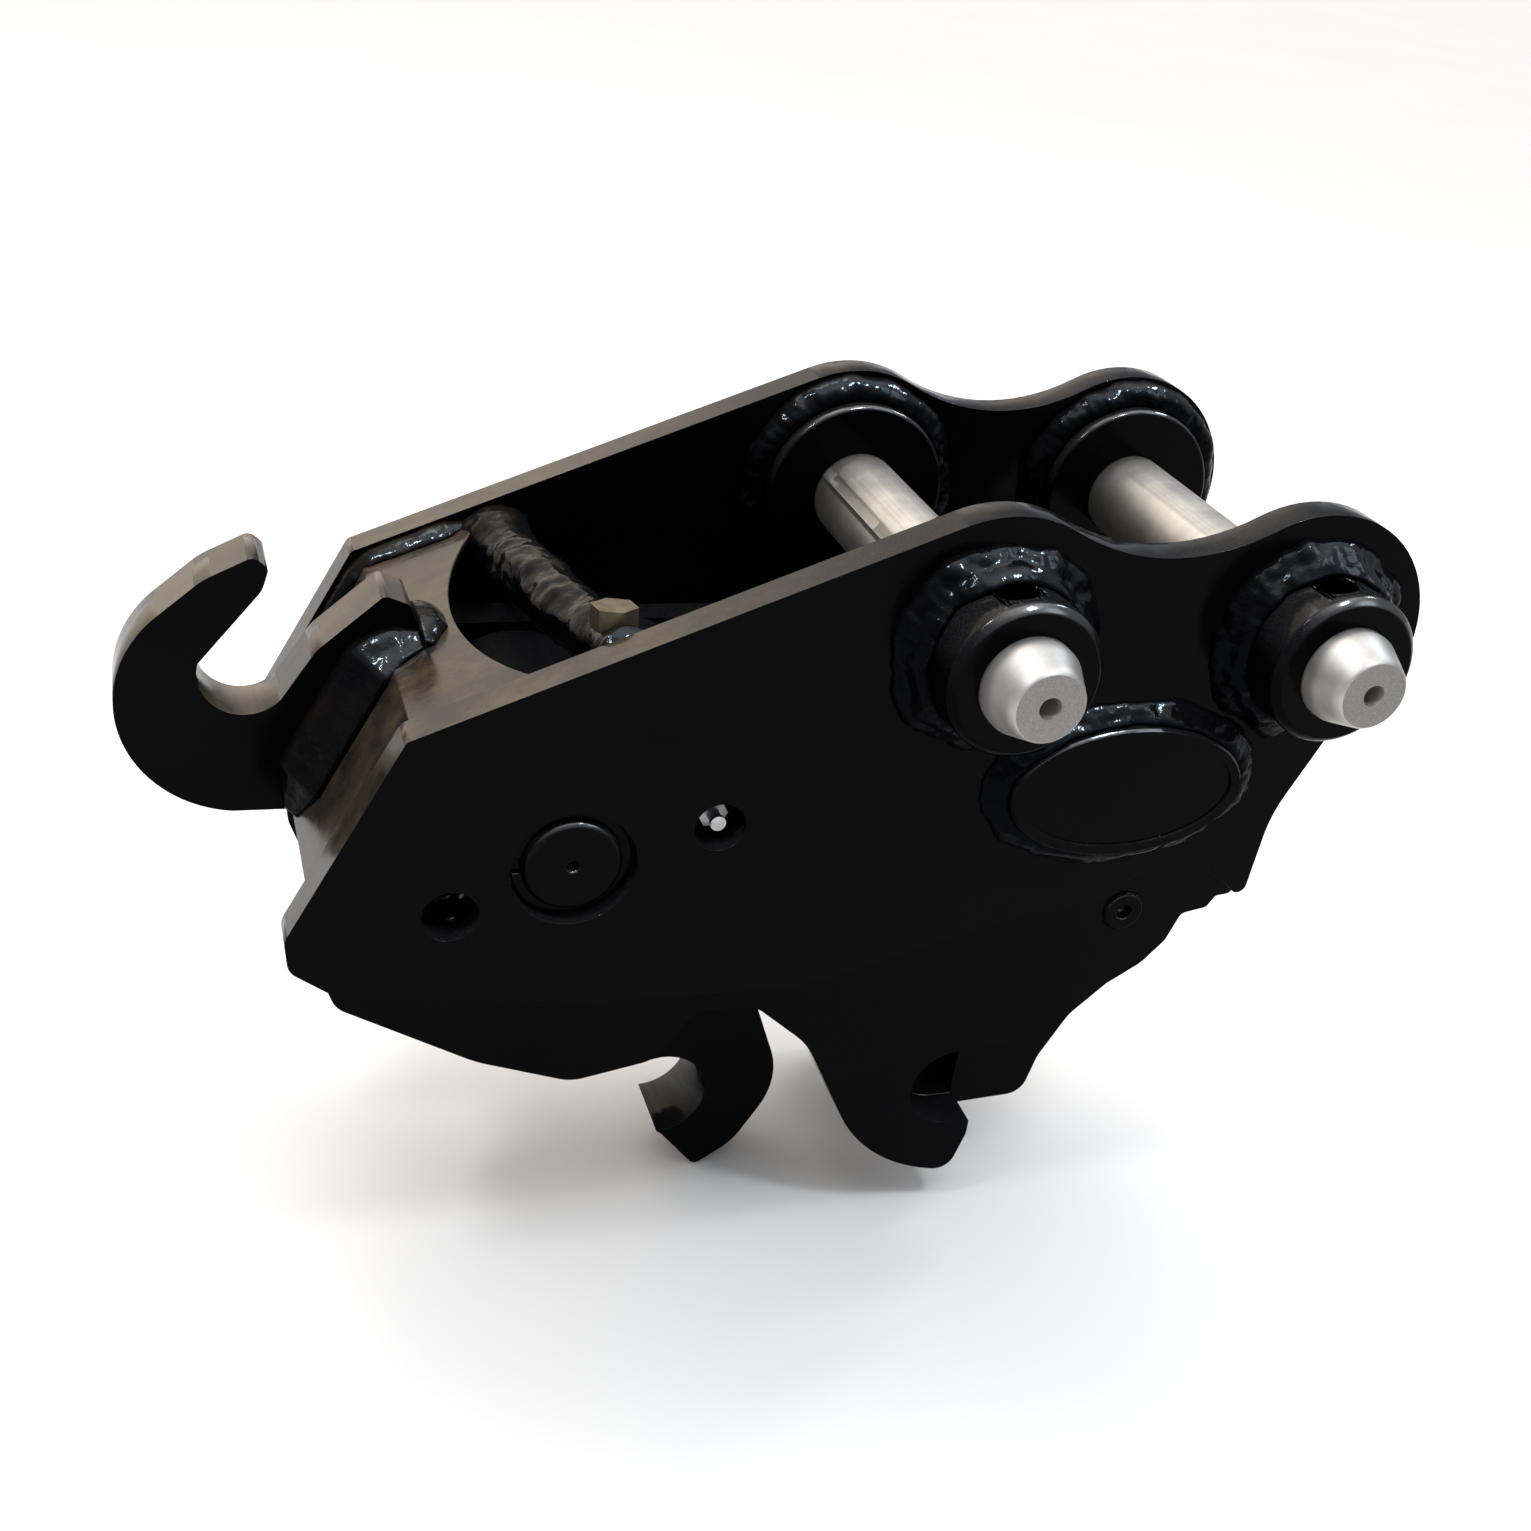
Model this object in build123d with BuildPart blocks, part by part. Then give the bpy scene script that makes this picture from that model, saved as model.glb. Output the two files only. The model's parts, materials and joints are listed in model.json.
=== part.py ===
from build123d import *
from math import atan2, cos, degrees, hypot, radians, sin, sqrt
import os

# Hydraulic pin-grabbing quick coupler for a small excavator, in millimetres.
# Origin: arm pin axis at mid-width. +X runs to the link pin, +Z is up, -Y is the right side.

# --- Driving dimensions -------------------------------------------------------------
PIN_R = 20.0             # arm, link and pivot pins
PIN_BORE_R = 20.03       # bores those pins turn or slide in
PIN_SPACING = 140.0      # arm pin to link pin
ARM_HALF = 65.0          # half the clear width for the excavator's arm
COLLAR_T = 14.0          # inner collar, against the arm
PLATE_T = 15.0           # side plate
BOSS_L = 32.0            # outer boss
LOBE_R = 54.5            # side plate round each pin
TOP_SLOPE = 21.8         # degrees, top edge of the side plates
TAIL_SLOPE = 62.3        # degrees, tail edge of the side plates
TAIL_TOP_X = -225.3      # corner where the two slopes meet
HOOK_PLATE_T = 20.0      # lower plates that carry the fixed jaw
HOOK_OUT = 64.0          # half the overall width of the lower body, for the bucket ears
BLADE_T = 36.0           # moving hook
PIVOT_X, PIVOT_Z = -160.0, -90.0       # moving hook's pivot pin
JAW_X, JAW_Z, JAW_R = 39.0, -245.0, 21.0    # fixed jaw's seat for the front bucket pin
GRAB_X, GRAB_Z, GRAB_R = -89.0, -270.5, 22.0    # moving hook's seat for the rear bucket pin
LOCK_X, LOCK_Z, LOCK_R = 107.0, -151.0, 10.0    # front lock's pin
BASE_X, BASE_Z, BASE_R = 103.7, -113.1, 9.0     # cylinder's base pin, in the front lock
ROD_X, ROD_Z, ROD_PIN_R = -118.0, -150.0, 11.0  # rod pin, in the moving hook
SAFETY_X, SAFETY_Z, SAFETY_R = -207.0, -108.0, 11.0  # through hole for a safety pin
NIPPLE_X, NIPPLE_Z = -103.0, -75.0     # grease nipple, reached through a hole in the side plate
NIPPLE_HOLE_R = 10.5
NIPPLE_SHANK_R = 4.0
RUN = 0.03               # radial running clearance of the small pins
GAP = 0.3                # side clearance between faces that slide past each other

# --- Planes and distances worked out from them -------------------------------------
SIDE_IN = ARM_HALF + COLLAR_T
SIDE_OUT = SIDE_IN + PLATE_T
BOSS_OUT = SIDE_OUT + BOSS_L
HOOK_IN = HOOK_OUT - HOOK_PLATE_T
BLADE_HALF = BLADE_T / 2
STROKE_X, STROKE_Z = ROD_X - BASE_X, ROD_Z - BASE_Z
ROD_REACH = hypot(STROKE_X, STROKE_Z)  # base pin to rod pin with both hooks locked
CYL_DIR = (STROKE_X / ROD_REACH, 0, STROKE_Z / ROD_REACH)
CYL_UP = (STROKE_Z / ROD_REACH, 0, -STROKE_X / ROD_REACH)
CYL_TILT = degrees(atan2(-STROKE_Z, -STROKE_X))
TOP_DIR = (cos(radians(TOP_SLOPE)), sin(radians(TOP_SLOPE)))
TAIL_DIR = (cos(radians(TAIL_SLOPE)), sin(radians(TAIL_SLOPE)))
TOP_TANGENT = (-LOBE_R * TOP_DIR[1], LOBE_R * TOP_DIR[0])
TAIL_TOP_Z = TOP_TANGENT[1] - (TOP_TANGENT[0] - TAIL_TOP_X) * TOP_DIR[1] / TOP_DIR[0]
SIDES = {"right": -1, "left": 1}


def wall_plane(side, inner, outer):
    """Plane that a slab between |Y| = inner and outer is extruded from, by outer - inner."""
    return Plane.XZ.offset(inner if SIDES[side] < 0 else -outer)


def turning_plane(x, z):
    """Plane through an axis along Y, with local X along the axis and local Y the radius."""
    return Plane((x, 0, z), x_dir=(0, 1, 0), z_dir=(1, 0, 0))


def turning_axis(x, z):
    return Axis((x, 0, z), (0, 1, 0))


def radial_plane(x, y, z, degrees_up, distance):
    """Plane square to a radius of a cylinder along Y, with local X along Y."""
    out_x, out_z = cos(radians(degrees_up)), sin(radians(degrees_up))
    foot = (x + distance * out_x, y, z + distance * out_z)
    return Plane(foot, x_dir=(0, 1, 0), z_dir=(out_x, 0, out_z))


def beside_tail(along_z, inset):
    """Point level with along_z on the tail edge, moved square into the plate by inset."""
    edge_x = TAIL_TOP_X + (along_z - TAIL_TOP_Z) * TAIL_DIR[0] / TAIL_DIR[1]
    return (edge_x + inset * TAIL_DIR[1], along_z - inset * TAIL_DIR[0])


def below_top(along_x, inset):
    """Point under along_x on the top edge, moved straight down until it is inset from it."""
    edge_z = TAIL_TOP_Z + (along_x - TAIL_TOP_X) * TOP_DIR[1] / TOP_DIR[0]
    return (along_x, edge_z - inset / TOP_DIR[0])


def bend_corner(inset):
    """Corner of the tail and top edges, both moved inwards by inset."""
    half_turn = radians((TAIL_SLOPE - TOP_SLOPE) / 2)
    reach = inset / cos(half_turn)
    mean_slope = radians((TAIL_SLOPE + TOP_SLOPE) / 2)
    return (TAIL_TOP_X + reach * sin(mean_slope), TAIL_TOP_Z - reach * cos(mean_slope))


os.makedirs("parts", exist_ok=True)

# --- Side plates ---------------------------------------------------------------------
WAIST_R = 92.5
WAIST_Z = sqrt((LOBE_R + WAIST_R) ** 2 - (PIN_SPACING / 2) ** 2)
WAIST_TANGENT = (PIN_SPACING / 2 * LOBE_R / (LOBE_R + WAIST_R), WAIST_Z * LOBE_R / (LOBE_R + WAIST_R))
LOBE_END = radians(-62)
FRONT_LEAVE = (PIN_SPACING + LOBE_R * cos(LOBE_END), LOBE_R * sin(LOBE_END))
RING_POCKET_R = 25.0
RING_FLOOR = 87.0        # |Y| of the snap ring pocket's floor

for side in SIDES:
    with BuildPart() as side_plate:
        with BuildSketch(wall_plane(side, SIDE_IN, SIDE_OUT)):
            with BuildLine():
                arm_lobe = ThreePointArc(TOP_TANGENT, (0, LOBE_R), WAIST_TANGENT)
                waist = ThreePointArc(
                    arm_lobe @ 1,
                    (PIN_SPACING / 2, WAIST_Z - WAIST_R),
                    (PIN_SPACING - WAIST_TANGENT[0], WAIST_TANGENT[1]),
                )
                ThreePointArc(waist @ 1, (PIN_SPACING + LOBE_R, 0), FRONT_LEAVE)
                FilletPolyline(
                    FRONT_LEAVE,
                    (149, -85),
                    (146, -129.5),
                    (122, -106.5),
                    (95, -106.5),
                    (75, -123),
                    (46, -126),
                    (-60, -155.5),
                    (-145, -154),
                    (-248, -142),
                    (-267, -128),
                    (-268.5, -114),
                    (TAIL_TOP_X, TAIL_TOP_Z),
                    TOP_TANGENT,
                    radius=[60, 4, 16, 14, 14, 60, 80, 120, 12, 8, 10, 4],
                )
            make_face()
            with Locations((0, 0), (PIN_SPACING, 0), (PIVOT_X, PIVOT_Z)):
                Circle(PIN_BORE_R, mode=Mode.SUBTRACT)
            with Locations((SAFETY_X, SAFETY_Z)):
                Circle(SAFETY_R, mode=Mode.SUBTRACT)
            with Locations((NIPPLE_X, NIPPLE_Z)):
                Circle(NIPPLE_HOLE_R, mode=Mode.SUBTRACT)
        extrude(amount=PLATE_T)
        with BuildSketch(wall_plane(side, RING_FLOOR, SIDE_OUT)):
            with Locations((PIVOT_X, PIVOT_Z)):
                Circle(RING_POCKET_R)
        extrude(amount=SIDE_OUT - RING_FLOOR, mode=Mode.SUBTRACT)
    side_plate.part.label = f"side_plate_{side}"
    export_step(side_plate.part, f"parts/side_plate_{side}.step")

# --- Spacer plates between the side plates and the hook plates ---------------------------
for side in SIDES:
    with BuildPart() as spacer_plate:
        with BuildSketch(wall_plane(side, HOOK_OUT, SIDE_IN)):
            with BuildLine():
                FilletPolyline(
                    (-218, -59),
                    (135, -59),
                    (134, -97),
                    (90, -97),
                    (71, -113),
                    (46, -116),
                    (-60, -146),
                    (-145, -145),
                    (-236, -134),
                    (-245, -109),
                    radius=10,
                    close=True,
                )
            make_face()
            with Locations((PIVOT_X, PIVOT_Z)):
                Circle(PIN_BORE_R, mode=Mode.SUBTRACT)
            with Locations((SAFETY_X, SAFETY_Z)):
                Circle(SAFETY_R, mode=Mode.SUBTRACT)
            with Locations((NIPPLE_X, NIPPLE_Z)):
                Circle(NIPPLE_SHANK_R, mode=Mode.SUBTRACT)
        extrude(amount=SIDE_IN - HOOK_OUT)
    spacer_plate.part.label = f"spacer_plate_{side}"
    export_step(spacer_plate.part, f"parts/spacer_plate_{side}.step")

# --- Bosses outside and collars inside the side plates ------------------------------------
BOSS_R = 32.3
BOSS_CHAMFER = 3.0
COLLAR_R = 42.5
COLLAR_CHAMFER = 1.5
BOLT_R = 8.5             # radial hole for the pin's retaining bolt
BOLT_Y = 110.0           # |Y| of that hole
BOLT_TILT = 97.0         # degrees up from +X
PIN_PLACES = {"arm": 0.0, "link": PIN_SPACING}

for place, pin_x in PIN_PLACES.items():
    for side, sign in SIDES.items():
        with BuildPart() as boss:
            with BuildSketch(turning_plane(pin_x, 0)):
                with BuildLine():
                    Polyline(
                        (sign * SIDE_OUT, PIN_BORE_R),
                        (sign * SIDE_OUT, BOSS_R),
                        (sign * (BOSS_OUT - BOSS_CHAMFER), BOSS_R),
                        (sign * BOSS_OUT, BOSS_R - BOSS_CHAMFER),
                        (sign * BOSS_OUT, PIN_BORE_R),
                        close=True,
                    )
                make_face()
            revolve(axis=turning_axis(pin_x, 0))
            if side == "right":
                with BuildSketch(radial_plane(pin_x, -BOLT_Y, 0, BOLT_TILT, 0)):
                    Circle(BOLT_R)
                extrude(amount=BOSS_R + 1, both=True, mode=Mode.SUBTRACT)
        boss.part.label = f"{place}_boss_{side}"
        export_step(boss.part, f"parts/{place}_boss_{side}.step")

        with BuildPart() as collar:
            with BuildSketch(turning_plane(pin_x, 0)):
                with BuildLine():
                    Polyline(
                        (sign * SIDE_IN, PIN_BORE_R),
                        (sign * SIDE_IN, COLLAR_R),
                        (sign * (ARM_HALF + COLLAR_CHAMFER), COLLAR_R),
                        (sign * ARM_HALF, COLLAR_R - COLLAR_CHAMFER),
                        (sign * ARM_HALF, PIN_BORE_R),
                        close=True,
                    )
                make_face()
            revolve(axis=turning_axis(pin_x, 0))
        collar.part.label = f"{place}_collar_{side}"
        export_step(collar.part, f"parts/{place}_collar_{side}.step")

# --- Oval pads on the side plates' outer faces ------------------------------------------
PAD_X, PAD_Z = 69.0, -64.0
PAD_LONG, PAD_SHORT = 53.0, 30.0
PAD_T = 10.0
PAD_RIM = 5.0            # width of the raised rim
PAD_RECESS = 1.2         # depth of the blank face inside the rim
PAD_CHAMFER = 1.0

for side, sign in SIDES.items():
    with BuildPart() as oval_pad:
        with BuildSketch(wall_plane(side, SIDE_OUT, SIDE_OUT + PAD_T)):
            with Locations((PAD_X, PAD_Z)):
                Ellipse(PAD_LONG, PAD_SHORT)
        extrude(amount=PAD_T)
        with BuildSketch(wall_plane(side, SIDE_OUT + PAD_T - PAD_RECESS, SIDE_OUT + PAD_T)):
            with Locations((PAD_X, PAD_Z)):
                Ellipse(PAD_LONG - PAD_RIM, PAD_SHORT - PAD_RIM)
        extrude(amount=PAD_RECESS, mode=Mode.SUBTRACT)
        rim_edges = oval_pad.faces().sort_by(Axis.Y)[0 if sign < 0 else -1].edges()
        chamfer(rim_edges.sort_by(SortBy.LENGTH)[-1], PAD_CHAMFER)
    oval_pad.part.label = f"oval_pad_{side}"
    export_step(oval_pad.part, f"parts/oval_pad_{side}.step")

# --- Hook plates: the lower body, with the fixed jaw at the front -------------------------
for side in SIDES:
    with BuildPart() as hook_plate:
        with BuildSketch(wall_plane(side, HOOK_IN, HOOK_OUT)):
            with BuildLine():
                ThreePointArc(
                    (JAW_X, JAW_Z + JAW_R), (JAW_X - JAW_R, JAW_Z), (JAW_X, JAW_Z - JAW_R)
                )
                FilletPolyline(
                    (JAW_X, JAW_Z - JAW_R),
                    (51.5, JAW_Z - JAW_R),
                    (51.5, -275),
                    (45.3, -296.5),
                    (0.5, -287),
                    (-38.3, -211),
                    (-66, -187),
                    (-94, -187),
                    (-108, -211),
                    (-146, -218.5),
                    (-188, -203),
                    (-246, -169),
                    (-256, -143),
                    (-251, -122),
                    (-240, -100),
                    (-205, -50),
                    (-120, -50),
                    (-60, -72),
                    (140, -72),
                    (163, -105),
                    (163, -146),
                    (155, -147),
                    (151.5, -153),
                    (139, -155.5),
                    (134, -170),
                    (124, -182),
                    (105, -194.5),
                    (62, -221),
                    (JAW_X, JAW_Z + JAW_R),
                    radius=[1.5, 12, 9, 75, 40, 14, 14, 16, 20, 60, 12, 12, 10, 12, 12, 12,
                            30, 20, 20, 3, 2.5, 3, 4, 8, 20, 20, 8],
                )
            make_face()
            with Locations((PIVOT_X, PIVOT_Z)):
                Circle(PIN_BORE_R, mode=Mode.SUBTRACT)
            with Locations((SAFETY_X, SAFETY_Z)):
                Circle(SAFETY_R, mode=Mode.SUBTRACT)
            with Locations((LOCK_X, LOCK_Z)):
                Circle(LOCK_R + RUN, mode=Mode.SUBTRACT)
        extrude(amount=HOOK_PLATE_T)
    hook_plate.part.label = f"hook_plate_{side}"
    export_step(hook_plate.part, f"parts/hook_plate_{side}.step")

# --- Fixed jaw liner: a half pipe between the hook plates -----------------------------------
LINER_T = 8.0
LINER_MOUTH_X = 50.0

with BuildPart() as fixed_jaw_liner:
    with BuildSketch(Plane.XZ):
        with Locations((JAW_X, JAW_Z)):
            Circle(JAW_R + LINER_T)
        with BuildLine():
            Polyline(
                (JAW_X, JAW_Z - JAW_R - LINER_T),
                (LINER_MOUTH_X, JAW_Z - JAW_R - LINER_T),
                (LINER_MOUTH_X, JAW_Z + JAW_R + LINER_T),
                (JAW_X, JAW_Z + JAW_R + LINER_T),
                close=True,
            )
        make_face()
        with Locations((JAW_X + JAW_R + LINER_T, JAW_Z)):
            Rectangle(2 * LINER_T, 4 * JAW_R, align=(Align.MIN, Align.CENTER), mode=Mode.SUBTRACT)
        with Locations((LINER_MOUTH_X, JAW_Z)):
            Rectangle(4 * JAW_R, 4 * JAW_R, align=(Align.MIN, Align.CENTER), mode=Mode.SUBTRACT)
        with Locations((JAW_X, JAW_Z)):
            Circle(JAW_R, mode=Mode.SUBTRACT)
            Rectangle(2 * JAW_R, 2 * JAW_R, align=(Align.MIN, Align.CENTER), mode=Mode.SUBTRACT)
    extrude(amount=HOOK_IN, both=True)
fixed_jaw_liner.part.label = "fixed_jaw_liner"
export_step(fixed_jaw_liner.part, "parts/fixed_jaw_liner.step")

# --- Tail plate: one bent plate that closes the tail between the side plates -----------------
TAIL_INSET = 6.5
TAIL_T = 12.0
TAIL_LOW_Z = -105.0
CAP_END_X = -174.0       # front edge of the cap beside the side plates
CAP_NOTCH = 20.0         # depth of the curved notch in that edge
CAP_NOTCH_HALF = 71.0    # half its width

with BuildPart() as tail_plate:
    with BuildSketch(Plane.XZ):
        with BuildLine():
            Polyline(
                below_top(CAP_END_X, TAIL_INSET),
                bend_corner(TAIL_INSET),
                beside_tail(TAIL_LOW_Z, TAIL_INSET),
                beside_tail(TAIL_LOW_Z, TAIL_INSET + TAIL_T),
                bend_corner(TAIL_INSET + TAIL_T),
                below_top(CAP_END_X, TAIL_INSET + TAIL_T),
                close=True,
            )
        make_face()
    extrude(amount=SIDE_IN, both=True)
    with BuildSketch(Plane.XY):
        with BuildLine():
            notch = ThreePointArc(
                (CAP_END_X, -CAP_NOTCH_HALF), (CAP_END_X - CAP_NOTCH, 0), (CAP_END_X, CAP_NOTCH_HALF)
            )
            Line(notch @ 1, notch @ 0)
        make_face()
    extrude(amount=2 * SIDE_IN, both=True, mode=Mode.SUBTRACT)
tail_plate.part.label = "tail_plate"
export_step(tail_plate.part, "parts/tail_plate.step")

# --- Lifting hook, welded to the tail plate at mid-width ----------------------------------
LIFT_T = 25.0
LIFT_X, LIFT_Z, LIFT_OUT_R = -275.5, -55.5, 49.5   # round back of the hook
SEAT_X, SEAT_Z, SEAT_R = -276.0, -43.0, 18.0       # seat for a chain link
LIFT_FOOT_Z = -102.0


def lift_point(radius, turn):
    """Point on a circle about the middle of the hook's back, turned from +X."""
    return (LIFT_X + radius * cos(radians(turn)), LIFT_Z + radius * sin(radians(turn)))


def seat_point(turn):
    """Point on the seat, turned from +X."""
    return (SEAT_X + SEAT_R * cos(radians(turn)), SEAT_Z + SEAT_R * sin(radians(turn)))


with BuildPart() as lifting_hook:
    with BuildSketch(Plane.XZ):
        with BuildLine():
            Polyline(beside_tail(LIFT_FOOT_Z, TAIL_INSET), lift_point(LIFT_OUT_R, 263))
            outside = ThreePointArc(
                lift_point(LIFT_OUT_R, 263), lift_point(LIFT_OUT_R, 190), lift_point(LIFT_OUT_R, 130)
            )
            tip = FilletPolyline(
                outside @ 1,
                (-291, -3.5),
                (-272, 6),
                (-266.5, 1),
                (-269, -8),
                seat_point(165),
                radius=[30, 4, 3, 12],
            )
            seat = ThreePointArc(tip @ 1, seat_point(240), seat_point(318))
            inside = FilletPolyline(
                seat @ 1,
                (-249, -34),
                (-223, -11),
                (-213, -15),
                below_top(-207, TAIL_INSET),
                radius=[25, 3, 4],
            )
            Polyline(inside @ 1, bend_corner(TAIL_INSET), beside_tail(LIFT_FOOT_Z, TAIL_INSET))
        make_face()
    extrude(amount=LIFT_T / 2, both=True)
lifting_hook.part.label = "lifting_hook"
export_step(lifting_hook.part, "parts/lifting_hook.step")

# --- Cross bar between the side plates and the brass plug in it ---------------------------
BAR_R = 9.5
BAR_LEFT = (-163.0, SIDE_IN, -28.0)
BAR_RIGHT = (-141.0, -SIDE_IN, -11.5)
PLUG_AT = 0.89           # how far along the bar, from its left end, the plug stands
PLUG_SHANK_R = 5.0
PLUG_AF = 16.0           # across the flats of its head
PLUG_HEAD_T = 9.0
bar_run = Vector(*BAR_RIGHT) - Vector(*BAR_LEFT)
bar_dir = bar_run.normalized()
plug_foot = Vector(*BAR_LEFT) + bar_run * PLUG_AT
plug_up = (Vector(0, 0, 1) - bar_dir * bar_dir.Z).normalized()
bar_section = Plane(Vector(*BAR_LEFT) - bar_dir * BAR_R, z_dir=bar_dir)
plug_plane = Plane(plug_foot, x_dir=bar_dir, z_dir=plug_up)

with BuildPart() as cross_bar:
    with BuildSketch(bar_section):
        Circle(BAR_R)
    extrude(amount=bar_run.length + 2 * BAR_R)
    with BuildSketch(Plane.XZ.offset(SIDE_IN), Plane.XZ.offset(-SIDE_IN - 4 * BAR_R)):
        with Locations((BAR_LEFT[0], BAR_LEFT[2]), (BAR_RIGHT[0], BAR_RIGHT[2])):
            Circle(4 * BAR_R)
    extrude(amount=4 * BAR_R, mode=Mode.SUBTRACT)
    with BuildSketch(plug_plane):
        Circle(PLUG_SHANK_R)
    extrude(amount=2 * BAR_R, mode=Mode.SUBTRACT)
cross_bar.part.label = "cross_bar"
export_step(cross_bar.part, "parts/cross_bar.step")

with BuildPart() as port_plug:
    with BuildSketch(plug_plane):
        Circle(PLUG_SHANK_R)
    extrude(amount=BAR_R)
    with BuildSketch(plug_plane.offset(BAR_R)):
        RegularPolygon(PLUG_AF / 2, 6, major_radius=False)
    extrude(amount=PLUG_HEAD_T)
port_plug.part.label = "port_plug"
export_step(port_plug.part, "parts/port_plug.step")

# --- Arm and link pins: straight, with a tapered lead at the right-hand end -----------------
PIN_RIGHT, PIN_LEFT = -145.5, BOSS_OUT + 8.0
PIN_TAPER_Y, PIN_TIP_R = -130.0, 14.9
PIN_CHAMFER, TIP_CHAMFER = 2.0, 1.0
PULLER_R, PULLER_DEEP = 4.6, 22.0      # tapped hole for pulling the pin
GROOVE_W, GROOVE_DEEP = 5.0, 2.0       # grease groove along the pin
GROOVE_L = 56.0
GROOVE_TURN = {"arm": 143.0, "link": -40.0}    # degrees up from +X

for place, pin_x in PIN_PLACES.items():
    with BuildPart() as pin:
        with BuildSketch(turning_plane(pin_x, 0)):
            with BuildLine():
                Polyline(
                    (PIN_RIGHT, 0),
                    (PIN_RIGHT, PIN_TIP_R - TIP_CHAMFER),
                    (PIN_RIGHT + TIP_CHAMFER, PIN_TIP_R),
                    (PIN_TAPER_Y, PIN_R),
                    (PIN_LEFT - PIN_CHAMFER, PIN_R),
                    (PIN_LEFT, PIN_R - PIN_CHAMFER),
                    (PIN_LEFT, 0),
                    close=True,
                )
            make_face()
        revolve(axis=turning_axis(pin_x, 0))
        with BuildSketch(Plane.XZ.offset(-PIN_RIGHT)):
            with Locations((pin_x, 0)):
                Circle(PULLER_R)
        extrude(amount=-PULLER_DEEP, mode=Mode.SUBTRACT)
        with BuildSketch(radial_plane(pin_x, -BOLT_Y, 0, BOLT_TILT, 0)):
            Circle(BOLT_R)
        extrude(amount=PIN_R + 1, both=True, mode=Mode.SUBTRACT)
        groove_floor = PIN_R - GROOVE_DEEP
        with BuildSketch(radial_plane(pin_x, GROOVE_L / 2, 0, GROOVE_TURN[place], groove_floor)):
            SlotOverall(GROOVE_L, GROOVE_W)
        extrude(amount=2 * GROOVE_DEEP, mode=Mode.SUBTRACT)
    pin.part.label = f"{place}_pin"
    export_step(pin.part, f"parts/{place}_pin.step")

# --- Pivot pin of the moving hook, held by a snap ring in each side plate ---------------------
PIVOT_HALF = 92.5
SNAP_T = 1.75
SNAP_SLACK = 0.05        # end clearance of a ring in its groove
SNAP_GROOVE_R = 18.5
SNAP_IN_R, SNAP_OUT_R = 18.6, 24.0
SNAP_GAP, SNAP_GAP_DEEP = 7.0, 6.0     # opening between the ring's ends
SNAP_Y = RING_FLOOR + SNAP_SLACK
SNAP_GROOVE_END = SNAP_Y + SNAP_T + SNAP_SLACK
CENTRE_R, CENTRE_TIP_R = 2.5, 1.5      # centre drilling in the pin's ends
CENTRE_DEEP, CENTRE_TIP_DEEP = 4.0, 7.0

with BuildPart() as pivot_pin:
    with BuildSketch(turning_plane(PIVOT_X, PIVOT_Z)):
        with BuildLine():
            Polyline(
                (0, 0),
                (0, PIN_R),
                (RING_FLOOR, PIN_R),
                (RING_FLOOR, SNAP_GROOVE_R),
                (SNAP_GROOVE_END, SNAP_GROOVE_R),
                (SNAP_GROOVE_END, PIN_R),
                (PIVOT_HALF - PIN_CHAMFER, PIN_R),
                (PIVOT_HALF, PIN_R - PIN_CHAMFER),
                (PIVOT_HALF, CENTRE_R),
                (PIVOT_HALF - CENTRE_DEEP, CENTRE_TIP_R),
                (PIVOT_HALF - CENTRE_TIP_DEEP, 0),
                close=True,
            )
        make_face()
    revolve(axis=turning_axis(PIVOT_X, PIVOT_Z))
    mirror(about=Plane.XZ)
pivot_pin.part.label = "pivot_pin"
export_step(pivot_pin.part, "parts/pivot_pin.step")

with BuildPart() as snap_rings:
    for side in SIDES:
        with BuildSketch(wall_plane(side, SNAP_Y, SNAP_Y + SNAP_T)):
            with Locations((PIVOT_X, PIVOT_Z)):
                Circle(SNAP_OUT_R)
                Circle(SNAP_IN_R, mode=Mode.SUBTRACT)
            with Locations((PIVOT_X - SNAP_OUT_R, PIVOT_Z)):
                Rectangle(2 * SNAP_GAP_DEEP, SNAP_GAP, mode=Mode.SUBTRACT)
        extrude(amount=SNAP_T)
snap_rings.part.label = "snap_rings"
export_step(snap_rings.part, "parts/snap_rings.step")

# --- Thrust washers between the hook plates and the moving hook's hub -------------------------
HUB_HALF = 42.0
HUB_R = 38.0
HUB_CHAMFER = 2.0
THRUST_R = 35.0
BUSH_OUT_R, BUSH_BORE_R = 24.0, 20.05
BUSH_L = 20.0

with BuildPart() as thrust_washers:
    for side in SIDES:
        with BuildSketch(wall_plane(side, HUB_HALF + GAP, HOOK_IN)):
            with Locations((PIVOT_X, PIVOT_Z)):
                Circle(THRUST_R)
                Circle(PIN_BORE_R, mode=Mode.SUBTRACT)
        extrude(amount=HOOK_IN - HUB_HALF - GAP)
thrust_washers.part.label = "thrust_washers"
export_step(thrust_washers.part, "parts/thrust_washers.step")

# --- Grease nipples, screwed into the spacer plates -------------------------------------------
NIPPLE_ROOT_Y = 67.0     # |Y| where its thread starts
NIPPLE_HEX, NIPPLE_HEX_T = 11.0, 4.0
NIPPLE_NECK_R, NIPPLE_NECK_T = 2.6, 6.0
NIPPLE_HEAD_R, NIPPLE_HEAD_T = 3.2, 2.0
NIPPLE_HEX_END = SIDE_IN + NIPPLE_HEX_T
NIPPLE_NECK_END = NIPPLE_HEX_END + NIPPLE_NECK_T
NIPPLE_STEPS = [
    (NIPPLE_SHANK_R, NIPPLE_ROOT_Y, SIDE_IN),
    (NIPPLE_NECK_R, NIPPLE_HEX_END, NIPPLE_NECK_END),
    (NIPPLE_HEAD_R, NIPPLE_NECK_END, NIPPLE_NECK_END + NIPPLE_HEAD_T),
]

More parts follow.
